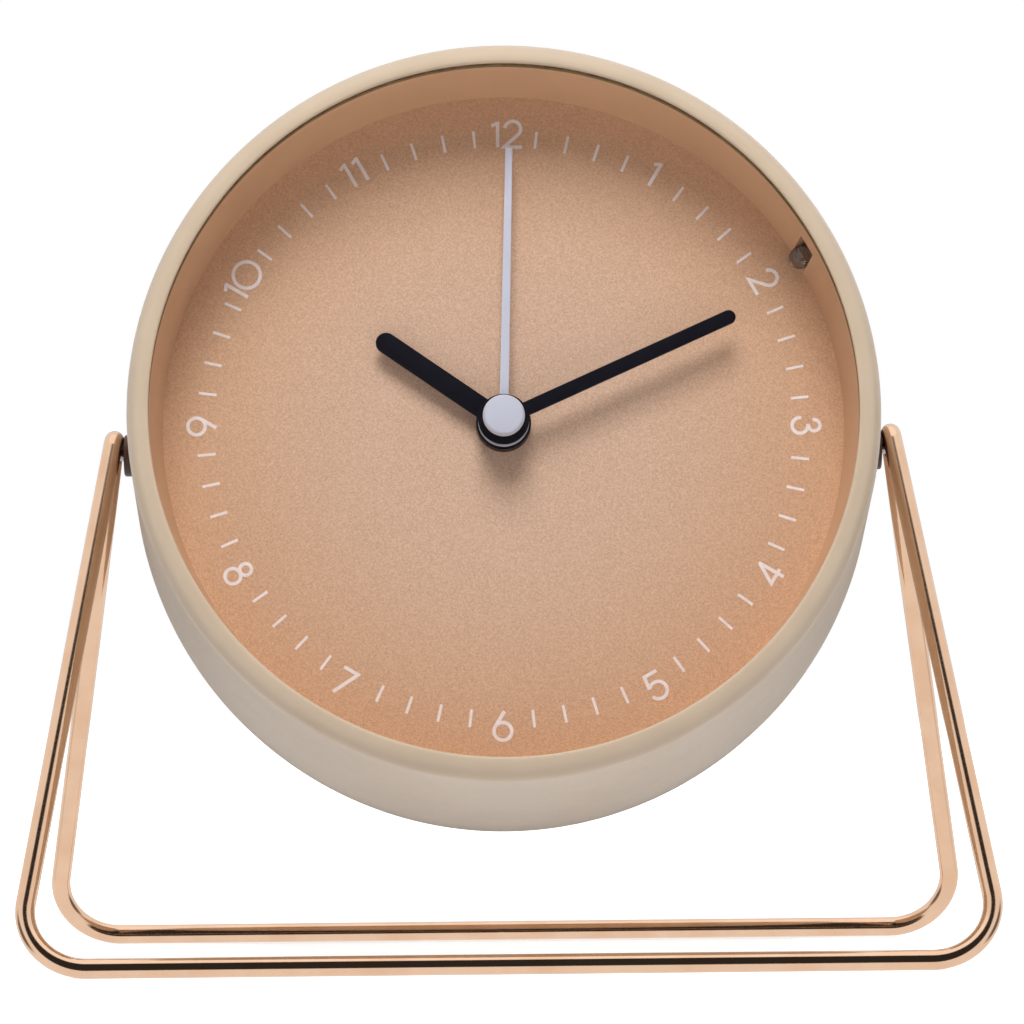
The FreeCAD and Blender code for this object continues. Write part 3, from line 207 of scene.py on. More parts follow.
raiseTent(studioSet)
hangLamps(studioSet)
layFloor(studioSet)
print("studio lit")

# Finishes, by material slot
finishes = {}
metal = {"Metallic": 1.0}


# A new finish with a Principled shader; place is the surface point in metres
def newFinish(slotName, name, colour, roughness, settings=None):
    material = bpy.data.materials.new(name)
    material.use_nodes = True
    tree = material.node_tree
    tree.nodes.clear()
    shader = addNode(tree, "ShaderNodeBsdfPrincipled", {
        "Base Color": paint(colour), "Roughness": roughness, **(settings or {}),
    })
    addNode(tree, "ShaderNodeOutputMaterial", {"Surface": shader.outputs[0]})
    finishes[slotName] = material
    place = addNode(tree, "ShaderNodeTexCoord").outputs["Object"]
    return tree, shader, place


# Texture scale for features of a size in mm
def perSize(size):
    return 1.0 / (size * millimetre)


# Noise whose blotches are about one size across, in mm
def addNoise(tree, place, size, detail=2.0):
    noise = addNode(tree, "ShaderNodeTexNoise", {"Vector": place, "Scale": perSize(size), "Detail": detail})
    return noise.outputs["Fac"]


# Blend of two colours, each a linear colour or a socket
def mixColours(tree, amount, first, second):
    mix = addNode(tree, "ShaderNodeMix", {"data_type": "RGBA", 0: amount, 6: first, 7: second})
    return mix.outputs[2]


def tintBetween(tree, shader, value, first, second, edges=(0.35, 0.65)):
    colour = mixColours(tree, addRange(tree, value, edges), paint(first), paint(second))
    tree.links.new(colour, shader.inputs["Base Color"])


def roughBetween(tree, shader, value, first, second, edges=(0.3, 0.7)):
    tree.links.new(addRange(tree, value, edges, (first, second)), shader.inputs["Roughness"])


# Bump of a real height in mm, on top of an earlier bump where one is given
def raiseSurface(tree, shader, value, height, under=None):
    bump = addNode(tree, "ShaderNodeBump", {"Distance": height * millimetre, "Height": value})
    if under is not None:
        tree.links.new(under, bump.inputs["Normal"])
    tree.links.new(bump.outputs[0], shader.inputs["Normal"])
    return bump.outputs[0]


# Moulded, painted or rolled surface: grain is the bump's size and cloud the tint's, all in mm
def grainFinish(slotName, name, colours, roughness, grain, height, cloud=9.0, settings=None):
    tree, shader, place = newFinish(slotName, name, colours[0], roughness[0], settings)
    tintBetween(tree, shader, addNoise(tree, place, cloud), *colours)
    fine = addNoise(tree, place, grain, detail=3.0)
    roughBetween(tree, shader, fine, *roughness)
    raiseSurface(tree, shader, fine, height)


# Polyester powder coat on steel: satin, with the slight orange peel of baked powder and a thin clear skin
grainFinish(
    "sand_paint", "powderCoatSand", ("#d0bba3", "#ccb79f"), (0.32, 0.4), 0.9, 0.012,
    settings={"Coat Weight": 0.25, "Coat Roughness": 0.2},
)

# Copper plate over polished steel wire: a warm mirror, with faint drawing marks and handling haze,
# and with a thin weld mark where the loop is closed, near the middle of the rear bar
copperSet = {
    "haze": 5.0,
    "hazeColours": ("#f0caac", "#eac1a1"),
    "roughness": (0.08, 0.14),
    "marks": 0.35,
    "markHeight": 0.0012,
    "weldSide": -0.6,
    "weldWidth": 0.45,
    "weldBehind": 30.0,
    "weldHeight": 0.05,
    "weldWear": 1.2,
}


def copperFinish(copper):
    tree, shader, place = newFinish("copper_wire", "copperPlatePolished", "#eec7a8", 0.11, metal)
    tintBetween(tree, shader, addNoise(tree, place, copper["haze"], detail=3.0), *copper["hazeColours"])
    marks = addNoise(tree, place, copper["marks"])
    axes = addNode(tree, "ShaderNodeSeparateXYZ", {0: place}).outputs
    fromWeld = addMath(tree, "SUBTRACT", axes["X"], copper["weldSide"] * millimetre)
    seam = addRange(tree, addMath(tree, "ABSOLUTE", fromWeld), (copper["weldWidth"] * millimetre, 0.0))
    onRearBar = addMath(tree, "GREATER_THAN", axes["Y"], copper["weldBehind"] * millimetre)
    weld = addMath(tree, "MULTIPLY", seam, onRearBar)
    worn = addMath(tree, "MULTIPLY_ADD", weld, copper["weldWear"], marks)
    roughBetween(tree, shader, worn, *copper["roughness"])
    drawn = raiseSurface(tree, shader, marks, copper["markHeight"])
    raiseSurface(tree, shader, weld, copper["weldHeight"], under=drawn)


copperFinish(copperSet)

# Sprayed lacquer with fine metal flake on the aluminium dial: each flake about 0.14 mm as drawn,
# coarser than the real 0.03 mm so that the sparkle shows. Its colour is warmer and darker towards the edge.
lacquerSet = {
    "flake": 0.14,
    "flakeHeight": 0.002,
    "roughness": (0.42, 0.6),
    "warmFrom": 18.0,
    "warmTo": 46.0,
    "darkFlakes": ("#d2ad92", "#d2a582"),
    "brightFlakes": ("#efcab1", "#edc09b"),
}


def lacquerFinish(lacquer):
    tree, shader, place = newFinish("dial_paint", "flakeLacquerTan", "#deb596", 0.5, {"Metallic": 0.15})
    flakes = addNode(tree, "ShaderNodeTexVoronoi", {"Vector": place, "Scale": perSize(lacquer["flake"])})
    glint = addNode(tree, "ShaderNodeSeparateColor", {"Color": flakes.outputs["Color"]}).outputs
    dialCentre = [(low + high) / 2 for low, high in zip(*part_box("dial_plate"))]
    fromCentre = addNode(tree, "ShaderNodeVectorMath", {"operation": "DISTANCE", 0: place, 1: dialCentre})
    reach = (lacquer["warmFrom"] * millimetre, lacquer["warmTo"] * millimetre)
    warmth = addRange(tree, fromCentre.outputs["Value"], reach)
    dark, bright = (
        mixColours(tree, warmth, *map(paint, lacquer[shade])) for shade in ("darkFlakes", "brightFlakes")
    )
    tree.links.new(mixColours(tree, glint[0], dark, bright), shader.inputs["Base Color"])
    roughBetween(tree, shader, glint[1], *lacquer["roughness"])
    raiseSurface(tree, shader, glint[2], lacquer["flakeHeight"])


lacquerFinish(lacquerSet)

# Injection moulded plastics with a fine spark-eroded grain
grainFinish("sand_ring", "mouldedAbsTan", ("#d8ae8a", "#d3a985"), (0.5, 0.62), 0.25, 0.006)
grainFinish("back_plastic", "mouldedAbsSand", ("#c3ac94", "#bfa890"), (0.5, 0.62), 0.3, 0.008)
grainFinish("white_gear", "mouldedAcetalWhite", ("#eeeade", "#e8e4d8"), (0.35, 0.45), 0.5, 0.004)
grainFinish("white_moulding", "mouldedAbsWhite", ("#e6e5df", "#e0dfd8"), (0.4, 0.52), 0.4, 0.006)
grainFinish("black_plastic", "mouldedAcetalBlack", ("#242120", "#1e1c1b"), (0.28, 0.4), 0.3, 0.005)

# Nylon of the tilt bushes: dark brown and satin
grainFinish("bush_nylon", "mouldedNylonBrown", ("#4c3025", "#40281f"), (0.34, 0.45), 0.3, 0.004)

# Silicone sponge gasket: matt, with a skin of fine pores. Its olive brown is painted shade: the dark of the
# shadowed crevice between the glass and the inner ring
grainFinish("dark_rubber", "gasketCreviceShadeBrown", ("#8a7450", "#7b6646"), (0.7, 0.85), 0.2, 0.02)

# Satin enamel on stamped aluminium hands
grainFinish(
    "black_hand", "satinEnamelBlack", ("#0d0d16", "#11111a"), (0.42, 0.52), 0.3, 0.003,
    settings={"Specular IOR Level": 0.18},
)
grainFinish("grey_hand", "satinEnamelGrey", ("#cbccdb", "#c5c7d6"), (0.34, 0.44), 0.3, 0.003)

# Screen printed ink: pale, slightly uneven in cover
grainFinish("print", "screenInkPale", ("#f6ecea", "#efe2dd"), (0.55, 0.7), 0.4, 0.003, cloud=1.2)

# Rolled and stamped metals and plated small parts
grainFinish("steel", "stampedSteelPlain", ("#b9b9bd", "#adadb2"), (0.24, 0.36), 0.4, 0.003, settings=metal)
grainFinish(
    "stator_iron", "siliconSteelSheet", ("#9a9b9e", "#8d8e92"), (0.32, 0.45), 0.5, 0.004, settings=metal,
)
grainFinish(
    "contact_steel", "nickelPlatedSteel", ("#cfccc4", "#c4c1b8"), (0.18, 0.28), 0.5, 0.002, settings=metal,
)
grainFinish("crystal_metal", "tinnedCan", ("#cfd0d2", "#c2c3c6"), (0.2, 0.32), 0.4, 0.002, settings=metal)
grainFinish("buzzer_brass", "rolledBrass", ("#c9a968", "#bf9d5a"), (0.25, 0.38), 0.5, 0.003, settings=metal)
grainFinish(
    "cell_case", "printedSleeveGrey", ("#7f8187", "#76787e"), (0.28, 0.38), 1.5, 0.003,
    settings={"Metallic": 0.6},
)

# Ferrite, resin, ceramic and circuit board
grainFinish("magnet", "sinteredFerrite", ("#3b3b3d", "#323234"), (0.5, 0.7), 0.15, 0.01)
grainFinish("chip_resin", "castEpoxyBlack", ("#1a1a1c", "#222224"), (0.18, 0.3), 1.2, 0.01)
grainFinish("buzzer_disc", "firedPiezoCeramic", ("#e9e4d6", "#e0dac9"), (0.5, 0.65), 0.2, 0.004)
grainFinish("board_green", "solderMaskGreen", ("#1f5a38", "#1a5030"), (0.3, 0.42), 0.6, 0.003)

# Enamelled copper winding: bands stand for its turns, coarser than the real fine wire
windingSet = {"pitch": 0.754, "colours": ("#a8572f", "#c07648"), "edges": (0.2, 0.8), "height": 0.03}
waveLength = math.tau / 20  # of the wave texture at scale 1


def windingFinish(winding):
    tree, shader, place = newFinish(
        "copper_winding", "enamelledCopperWinding", "#b5653a", 0.35, {"Metallic": 0.9},
    )
    bands = addNode(tree, "ShaderNodeTexWave", {
        "wave_type": "BANDS",
        "bands_direction": "X",
        "Vector": place,
        "Scale": waveLength * perSize(winding["pitch"]),
    }).outputs["Fac"]
    tintBetween(tree, shader, bands, *winding["colours"], edges=winding["edges"])
    raiseSurface(tree, shader, bands, winding["height"])


windingFinish(windingSet)


# Float glass with ground edges. It is clear to shadow, diffuse and mirrored rays, so that the dial
# is lit through it. A refracted ray counts as glossy too, so it is taken off the mirrored ones.
def glassFinish():
    tree, shader = newFinish(
        "clear_lens", "mineralGlassClear", "#ffffff", 0.0, {"Transmission Weight": 1.0, "IOR": 1.5},
    )[:2]
    ray = addNode(tree, "ShaderNodeLightPath").outputs
    unseen = addMath(tree, "MAXIMUM", ray["Is Shadow Ray"], ray["Is Diffuse Ray"])
    mirrored = addMath(tree, "SUBTRACT", ray["Is Glossy Ray"], ray["Is Transmission Ray"])
    passing = addMath(tree, "MAXIMUM", unseen, mirrored)
    clear = addNode(tree, "ShaderNodeBsdfTransparent")
    glass = addNode(tree, "ShaderNodeMixShader", {0: passing, 1: shader.outputs[0], 2: clear.outputs[0]})
    tree.links.new(glass.outputs[0], tree.nodes["Material Output"].inputs["Surface"])


# Cast clear epoxy of a 3 mm light emitting diode, slightly milky
def lampFinish():
    tree, shader, place = newFinish(
        "lamp_resin", "castEpoxyClear", "#e4dccf", 0.06, {"Transmission Weight": 0.95, "IOR": 1.53},
    )
    roughBetween(tree, shader, addNoise(tree, place, 0.8), 0.04, 0.12)


glassFinish()
lampFinish()
print("finishes made:", len(finishes))

for part in frame["record"]["subparts"]:
    body = frame["nodes"][part["node"]].data
    body.materials.clear()
    body.materials.append(finishes[part["material_slot"]])

# The clock head is built upright about its tilt axis, then set by this matrix
joints = {joint["name"]: joint for joint in frame["joints"]}
faceAxis = Vector(joints["minute_hand_turn"]["axis"]).normalized()
tiltCentre = Vector(joints["head_tilt"]["pos_m"])
headUp = Vector((1, 0, 0)).cross(faceAxis)
headPlace = Matrix.Translation(tiltCentre) @ Matrix((
    (1, 0, 0, 0),
    (0, faceAxis.y, headUp.y, 0),
    (0, faceAxis.z, headUp.z, 0),
    (0, 0, 0, 1),
))
crispAngle = 35.0


def clockwise(degrees):
    return Matrix.Rotation(math.radians(degrees), 4, "Y")


# Closed mesh with its faces turned outwards
def toMesh(name, bm):
    bmesh.ops.recalc_face_normals(bm, faces=bm.faces)
    mesh = bpy.data.meshes.new(name)
    bm.to_mesh(mesh)
    bm.free()
    return mesh


# One visible piece: placed, shaded soft with crisp corners, and tied to its body and CAD nodes
def makePiece(name, bm, place, slotName, body, nodes=(), crisp=crispAngle, finish=None):
    mesh = toMesh(name, bm)
    mesh.transform(place)
    mesh.shade_smooth()
    mesh.set_sharp_from_angle(angle=math.radians(crisp))
    mesh.materials.append(finishes[finish or slotName])
    piece = linkObject(name, mesh)
    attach(piece, body)
    if nodes:
        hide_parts(*nodes)
    return piece


# Points of an arc in mm, angles in degrees
def arcPoints(centre, radius, start, end, steps):
    turns = [math.radians(start + (end - start) * i / steps) for i in range(steps + 1)]
    return [(centre[0] + radius * math.cos(t), centre[1] + radius * math.sin(t)) for t in turns]


# Turns a closed outline of (radius, along the Y axis) in mm round that axis
def addTurned(bm, outline, steps, place=Matrix.Identity(4)):
    rings = []
    for radius, along in outline:
        ring = []
        for step in range(steps if radius > 0 else 1):  # a point on the axis is a single corner
            turn = math.tau * step / steps
            spot = Vector((radius * math.sin(turn), along, radius * math.cos(turn))) * millimetre
            ring.append(bm.verts.new(place @ spot))
        rings.append(ring)
    for first, second in zip(rings, rings[1:] + rings[:1]):
        for i in range(steps):
            j = (i + 1) % steps
            corners = []
            for ring, step in ((first, i), (first, j), (second, j), (second, i)):
                corner = ring[step % len(ring)]
                if corner not in corners:
                    corners.append(corner)
            if len(corners) > 2:
                bm.faces.new(corners)


# Extrudes a closed outline of (x, z) in mm between two depths along Y
def addPlate(bm, outline, front, back):
    near = [bm.verts.new(Vector((x, front, z)) * millimetre) for x, z in outline]
    far = [bm.verts.new(Vector((x, back, z)) * millimetre) for x, z in outline]
    bm.faces.new(near)
    bm.faces.new(far[::-1])
    for i in range(len(outline)):
        j = (i + 1) % len(outline)
        bm.faces.new((near[j], near[i], far[i], far[j]))


# Rounds the edges round the front and back of flat plates
def softenEdges(bm, width, segments=2, limit=40.0):
    sharp = [e for e in bm.edges if len(e.link_faces) == 2 and e.calc_face_angle() > math.radians(limit)]
    bmesh.ops.bevel(
        bm, geom=sharp, offset=width * millimetre, segments=segments, profile=0.5, affect="EDGES",
        clamp_overlap=True,
    )


def newTree(name, inputs):
    group = bpy.data.node_groups.new(name, "GeometryNodeTree")
    group.interface.new_socket("Geometry", in_out="INPUT", socket_type="NodeSocketGeometry")
    for label, kind in inputs:
        group.interface.new_socket(label, in_out="INPUT", socket_type="NodeSocket" + kind)
    group.interface.new_socket("Geometry", in_out="OUTPUT", socket_type="NodeSocketGeometry")
    source = group.nodes.new("NodeGroupInput")
    target = group.nodes.new("NodeGroupOutput")
    return group, source.outputs, target.inputs


# Every node tree ends here: one real mesh in its finish
def endTree(group, geometry, given, made):
    whole = addNode(group, "GeometryNodeRealizeInstances", {"Geometry": geometry})
    finished = addNode(group, "GeometryNodeSetMaterial", {
        "Geometry": whole.outputs[0], "Material": given["Finish"],
    })
    group.links.new(finished.outputs[0], made["Geometry"])


# Runs a node tree on a data block and returns the result as an editable mesh
def runTree(group, data, values):
    carrier = linkObject(group.name, data)
    modifier = carrier.modifiers.new(group.name, "NODES")
    modifier.node_group = group
    for item in group.interface.items_tree:
        if item.in_out == "INPUT" and item.name in values:
            modifier[item.identifier] = values[item.name]
    graph = bpy.context.evaluated_depsgraph_get()
    mesh = bpy.data.meshes.new_from_object(carrier.evaluated_get(graph))
    bpy.data.objects.remove(carrier)
    bm = bmesh.new()
    bm.from_mesh(mesh)
    bpy.data.meshes.remove(mesh)
    return bm


# Stand: one loop of wire, bent at four feet and two tops
standSet = {
    "wireRadius": 1.32,
    "halfDepth": 37.245,
    "footSide": 64.7,
    "pivotHeight": 69.0,
    "pivotSide": 53.502,
    "footBend": 8.3,
    "topBend": 2.1,
    "bendSteps": 40,
    "around": 48,
    "crisp": 60.0,
}


# Corner points of the loop's middle line, each with its bend radius. The corner over a top bend
# stands higher than the bend itself, so that the bent wire passes through the pivot.
def standCorners(stand):
    rise = stand["pivotHeight"] - stand["wireRadius"]
    spread = stand["footSide"] - stand["pivotSide"]
    slope = math.hypot(spread, rise)
    depth = stand["halfDepth"]
    legAngle = math.atan(depth / slope) - math.asin(stand["topBend"] / math.hypot(depth, slope))
    lift = stand["topBend"] / math.sin(legAngle) / slope
    topSide = stand["pivotSide"] - spread * lift
    topHeight = stand["pivotHeight"] + rise * lift
    side, height, bend = stand["footSide"], stand["wireRadius"], stand["footBend"]
    corners = []
    for sign in (-1, 1):
        corners += [
            (sign * side, sign * depth, height, bend),
            (sign * topSide, 0.0, topHeight, stand["topBend"]),
            (sign * side, -sign * depth, height, bend),
        ]
    return corners


corners = standCorners(standSet)
standPath = bpy.data.curves.new("standPath", "CURVE")
standPath.dimensions = "3D"
spline = standPath.splines.new("POLY")
spline.points.add(len(corners) - 1)
spline.use_cyclic_u = True
for point, (x, y, z, bend) in zip(spline.points, corners):
    point.co = (x * millimetre, y * millimetre, z * millimetre, 1)
    point.radius = bend * millimetre

wireTree, given, made = newTree(
    "bentWire", [("Wire radius", "Float"), ("Bend steps", "Int"), ("Around", "Int"), ("Finish", "Material")],
)
bendRadius = addNode(wireTree, "GeometryNodeInputRadius")
bent = addNode(wireTree, "GeometryNodeFilletCurve", {
    "mode": "POLY",
    "Curve": given["Geometry"],
    "Radius": bendRadius.outputs[0],
    "Count": given["Bend steps"],
})
even = addNode(wireTree, "GeometryNodeSetCurveRadius", {"Curve": bent.outputs[0], "Radius": 1.0})
section = addNode(wireTree, "GeometryNodeCurvePrimitiveCircle", {
    "Resolution": given["Around"], "Radius": given["Wire radius"],
})
wire = addNode(wireTree, "GeometryNodeCurveToMesh", {
    "Curve": even.outputs[0], "Profile Curve": section.outputs[0],
})
endTree(wireTree, wire.outputs[0], given, made)
bm = runTree(wireTree, standPath, {
    "Wire radius": standSet["wireRadius"] * millimetre,
    "Bend steps": standSet["bendSteps"],
    "Around": standSet["around"],
    "Finish": finishes["copper_wire"],
})
makePiece(
    "standLoop", bm, Matrix.Identity(4), "copper_wire", "stand", ["stand_wire"], crisp=standSet["crisp"],
)
print("stand bent")

# Tilt bushes: moulded collars between the legs and the drum
bushSet = {
    "flangeRadius": 2.85,
    "flangeFrom": 50.732,
    "flangeTo": 51.832,
    "spigotRadius": 2.0,
    "spigotEnd": 48.2,
    "bore": 0.8,
    "outerRound": 0.35,
    "innerRound": 0.1,
    "around": 64,
}
radius, near, far = bushSet["flangeRadius"], bushSet["flangeFrom"], bushSet["flangeTo"]
outer, inner, end = bushSet["outerRound"], bushSet["innerRound"], bushSet["spigotEnd"]
outline = [(bushSet["bore"], far)]
outline += arcPoints((radius - outer, far - outer), outer, 90, 0, steps=6)
outline += arcPoints((radius - inner, near + inner), inner, 0, -90, steps=3)
outline += [(bushSet["spigotRadius"], near), (bushSet["spigotRadius"], end), (bushSet["bore"], end)]
bm = bmesh.new()
for sign in (-1, 1):
    addTurned(bm, outline, bushSet["around"], Matrix.Rotation(-sign * math.pi / 2, 4, "Z"))
makePiece("tiltBushes", bm, headPlace, "black_plastic", "head", ["pivot_bushes"], finish="bush_nylon")

# Case: spun drum, slightly barrelled, rolled in at the front so that the lip holds the glass
caseSet = {
    "radius": 49.99,
    "swell": 0.8,
    "widest": 7.0,
    "wall": 0.8,
    "front": -29.0,
    "back": 17.0,
    "rimRound": 2.6,
    "risingSteps": 12,
    "closingSteps": 8,
    "around": 288,
}


# Points up one wall of the drum: straight from the rim to the widest place, then curved in to the back
def barrelSide(case, radius, back):
    swell, widest = case["swell"], case["widest"]
    start = case["front"] + case["rimRound"]
    steps = [i / case["risingSteps"] for i in range(case["risingSteps"] + 1)]
    rising = [(radius + swell * t, start + (widest - start) * t) for t in steps]
    steps = [i / case["closingSteps"] for i in range(1, case["closingSteps"] + 1)]
    closing = [(radius + swell * (1 - t ** 2), widest + (back - widest) * t) for t in steps]
    return rising + closing


radius, wall, rimRound, back = caseSet["radius"], caseSet["wall"], caseSet["rimRound"], caseSet["back"]
nose = wall / 2
rimCentre = (radius - rimRound, caseSet["front"] + rimRound)
outline = arcPoints(rimCentre, rimRound, 0, -90, steps=18)
outline += arcPoints((rimCentre[0], caseSet["front"] + nose), nose, -90, -270, steps=8)[1:]
outline += arcPoints(rimCentre, rimRound - wall, -90, 0, steps=10)[1:-1]
outline += barrelSide(caseSet, radius - wall, back - nose)
outline += arcPoints((radius - nose, back - nose), nose, 180, 0, steps=8)[1:-1]
outline += barrelSide(caseSet, radius, back - nose)[:0:-1]
bm = bmesh.new()
addTurned(bm, outline, caseSet["around"])
makePiece("caseDrum", bm, headPlace, "sand_paint", "head", ["case_shell"])

# Window: flat glass with a ground edge, on a sponge gasket painted olive brown as the shaded crevice
windowSet = {"radius": 47.8, "front": -28.05, "back": -26.45, "ground": 0.25, "around": 192}
radius, front, back, ground = (windowSet[key] for key in ("radius", "front", "back", "ground"))
outline = [(0, front), (radius - ground, front), (radius, front + ground)]
outline += [(radius, back - ground), (radius - ground, back), (0, back)]
bm = bmesh.new()
addTurned(bm, outline, windowSet["around"])
makePiece("frontGlass", bm, headPlace, "clear_lens", "head", ["front_lens"])

gasketSet = {"inner": 47.05, "outer": 48.9, "front": -26.45, "back": -25.95, "edge": 0.12, "around": 192}
inner, outer, front, back, edge = (gasketSet[key] for key in ("inner", "outer", "front", "back", "edge"))
outline = [(inner + edge, front), (outer - edge, front), (outer, front + edge), (outer, back - edge)]
outline += [(outer - edge, back), (inner + edge, back), (inner, back - edge), (inner, front + edge)]
bm = bmesh.new()
addTurned(bm, outline, gasketSet["around"])
makePiece("creviceShadeGasket", bm, headPlace, "dark_rubber", "head", ["lens_gasket"])

# Inner ring: a shallow cone between glass and dial, with a slot for the lamp
ringSet = {
    "front": -25.95,
    "dial": -15.7,
    "skirtEnd": -15.2,
    "frontRadius": 47.05,
    "dialRadius": 45.75,
    "outer": 48.95,
    "skirtInner": 47.7,
    "wall": 1.2,
    "slotWidth": 3.1,
    "slotHeight": 7.5,
    "slotReach": (44.5, 50.0),
    "slotOverrun": 1.0,
    "slotAngle": 60.9,
    "around": 240,
}
taper = (ringSet["frontRadius"] - ringSet["dialRadius"]) / (ringSet["dial"] - ringSet["front"])
wall = ringSet["wall"]
outline = [
    (ringSet["dialRadius"], ringSet["dial"]),
    (ringSet["frontRadius"], ringSet["front"]),
    (ringSet["outer"], ringSet["front"]),
    (ringSet["outer"], ringSet["front"] + wall),
    (ringSet["frontRadius"] - taper * wall + wall, ringSet["front"] + wall),
    (ringSet["dialRadius"] + taper * wall + wall, ringSet["dial"] - wall),
    (ringSet["outer"], ringSet["dial"] - wall),
    (ringSet["outer"], ringSet["skirtEnd"]),
    (ringSet["skirtInner"], ringSet["skirtEnd"]),
    (ringSet["skirtInner"], ringSet["dial"]),
]
bm = bmesh.new()
addTurned(bm, outline, ringSet["around"])
ring = makePiece("innerRing", bm, Matrix.Identity(4), "sand_ring", "head", ["inner_ring"])
half = ringSet["slotWidth"] / 2
near, far = ringSet["slotReach"]
bm = bmesh.new()
addPlate(
    bm, [(-half, near), (half, near), (half, far), (-half, far)],
    ringSet["dial"] - ringSet["slotHeight"], ringSet["skirtEnd"] + ringSet["slotOverrun"],
)
cutter = linkObject("slotCutter", toMesh("slotCutter", bm))
cutter.data.transform(clockwise(ringSet["slotAngle"]))
cut = ring.modifiers.new("slot", "BOOLEAN")
cut.object = cutter
cut.solver = "EXACT"
graph = bpy.context.evaluated_depsgraph_get()
slotted = bpy.data.meshes.new_from_object(ring.evaluated_get(graph))
ring.modifiers.clear()
bpy.data.objects.remove(cutter)
ring.data = slotted
slotted.transform(headPlace)
slotted.set_sharp_from_angle(angle=math.radians(crispAngle))
print("case, window and ring set")

# Dial plate: painted aluminium disc with a hole for the hands' tubes
dialSet = {"radius": 47.6, "front": -15.7, "back": -15.2, "hole": 2.8, "turn": 0.9, "around": 192}
hole, radius, front, back = (dialSet[key] for key in ("hole", "radius", "front", "back"))
bm = bmesh.new()
addTurned(bm, [(hole, front), (radius, front), (radius, back), (hole, back)], dialSet["around"])
makePiece("dialDisc", bm, headPlace, "dial_paint", "head", ["dial_plate"])
printPlace = headPlace @ clockwise(dialSet["turn"])

# Minute ticks, left out at the numerals
tickSet = {"count": 60, "skip": 5, "inner": 38.8, "outer": 41.2, "width": 0.37, "thick": 0.02}
tickTree, given, made = newTree("minuteTicks", [
    ("Count", "Int"), ("Skip", "Int"), ("Middle radius", "Float"), ("Length", "Float"), ("Width", "Float"),
    ("Thickness", "Float"), ("Front", "Float"), ("Finish", "Material"),
])
index = addNode(tickTree, "GeometryNodeInputIndex").outputs[0]
angle = addMath(tickTree, "MULTIPLY", index, addMath(tickTree, "DIVIDE", math.tau, given["Count"]))
spotX = addMath(tickTree, "MULTIPLY", addMath(tickTree, "SINE", angle), given["Middle radius"])
spotZ = addMath(tickTree, "MULTIPLY", addMath(tickTree, "COSINE", angle), given["Middle radius"])
spot = addNode(tickTree, "ShaderNodeCombineXYZ", {"X": spotX, "Y": given["Front"], "Z": spotZ})
spots = addNode(tickTree, "GeometryNodePoints", {"Count": given["Count"], "Position": spot.outputs[0]})
atNumeral = addMath(tickTree, "LESS_THAN", addMath(tickTree, "MODULO", index, given["Skip"]), 0.5)
turn = addNode(tickTree, "ShaderNodeCombineXYZ", {"Y": angle})
size = addNode(tickTree, "ShaderNodeCombineXYZ", {
    "X": given["Width"], "Y": given["Thickness"], "Z": given["Length"],
})
bar = addNode(tickTree, "GeometryNodeMeshCube", {"Size": size.outputs[0]})
placed = addNode(tickTree, "GeometryNodeInstanceOnPoints", {
    "Points": spots.outputs[0], "Instance": bar.outputs["Mesh"], "Rotation": turn.outputs[0],
})
kept = addNode(tickTree, "GeometryNodeDeleteGeometry", {
    "domain": "INSTANCE", "Geometry": placed.outputs[0], "Selection": atNumeral,
})
endTree(tickTree, kept.outputs[0], given, made)
bm = runTree(tickTree, bpy.data.meshes.new("tickSeed"), {
    "Count": tickSet["count"],
    "Skip": tickSet["skip"],
    "Middle radius": (tickSet["inner"] + tickSet["outer"]) / 2 * millimetre,
    "Length": (tickSet["outer"] - tickSet["inner"]) * millimetre,
    "Width": tickSet["width"] * millimetre,
    "Thickness": tickSet["thick"] * millimetre,
    "Front": (dialSet["front"] - tickSet["thick"] / 2) * millimetre,
    "Finish": finishes["print"],
})
makePiece("minuteTicks", bm, printPlace, "print", "head")
print("dial ticks printed")

# Numerals: single strokes of even width, drawn in mm about each hour's own middle line.
# Where strokes cross, each later one has a little more ink, so that their faces don't coincide.
numeralSet = {
    "stroke": 0.47,
    "foot": 38.75,
    "footTurned": 42.5,
    "turnedHours": (4, 5, 6, 7, 8),
    "thick": 0.02,
    "extraInk": 0.3,
    "figures": {
        1: (("1", 0.12),), 2: (("2", -1.25),), 3: (("3", 0),), 4: (("4", 0),), 5: (("5", 0),), 6: (("6", 0),),
        7: (("7", 0),), 8: (("8", 0),), 9: (("9", 0),), 10: (("1", -2.0), ("0", 0.55)),
        11: (("1", -0.8), ("1", 1.05)), 12: (("1", -1.0), ("2", -0.12)),
    },
}


# Where a line from a point touches a circle, on the right of the way there
def touchPoint(point, centre, radius):
    reach = Vector(centre) - Vector(point)
    heading = math.atan2(reach.y, reach.x) - math.asin(radius / reach.length)
    run = math.sqrt(reach.length ** 2 - radius ** 2)
    return (point[0] + run * math.cos(heading), point[1] + run * math.sin(heading))


# A line from its tip to a round bowl, as in 6 and 9
def tailAndBowl(tip, centre, radius):
    bowl = arcPoints(centre, radius, 0, 360, steps=40)[:-1]
    return [([tip, touchPoint(tip, centre, radius)], False), (bowl, True)]


# The head, slanting neck and base of 2
def swanNeck(centre, radius, base, heel=(0, 0.05), start=174):
    x, y = touchPoint(heel, centre, radius)
    end = math.degrees(math.atan2(y - centre[1], x - centre[0]))
    return [(arcPoints(centre, radius, start, end, steps=26) + [heel, (base, heel[1])], False)]


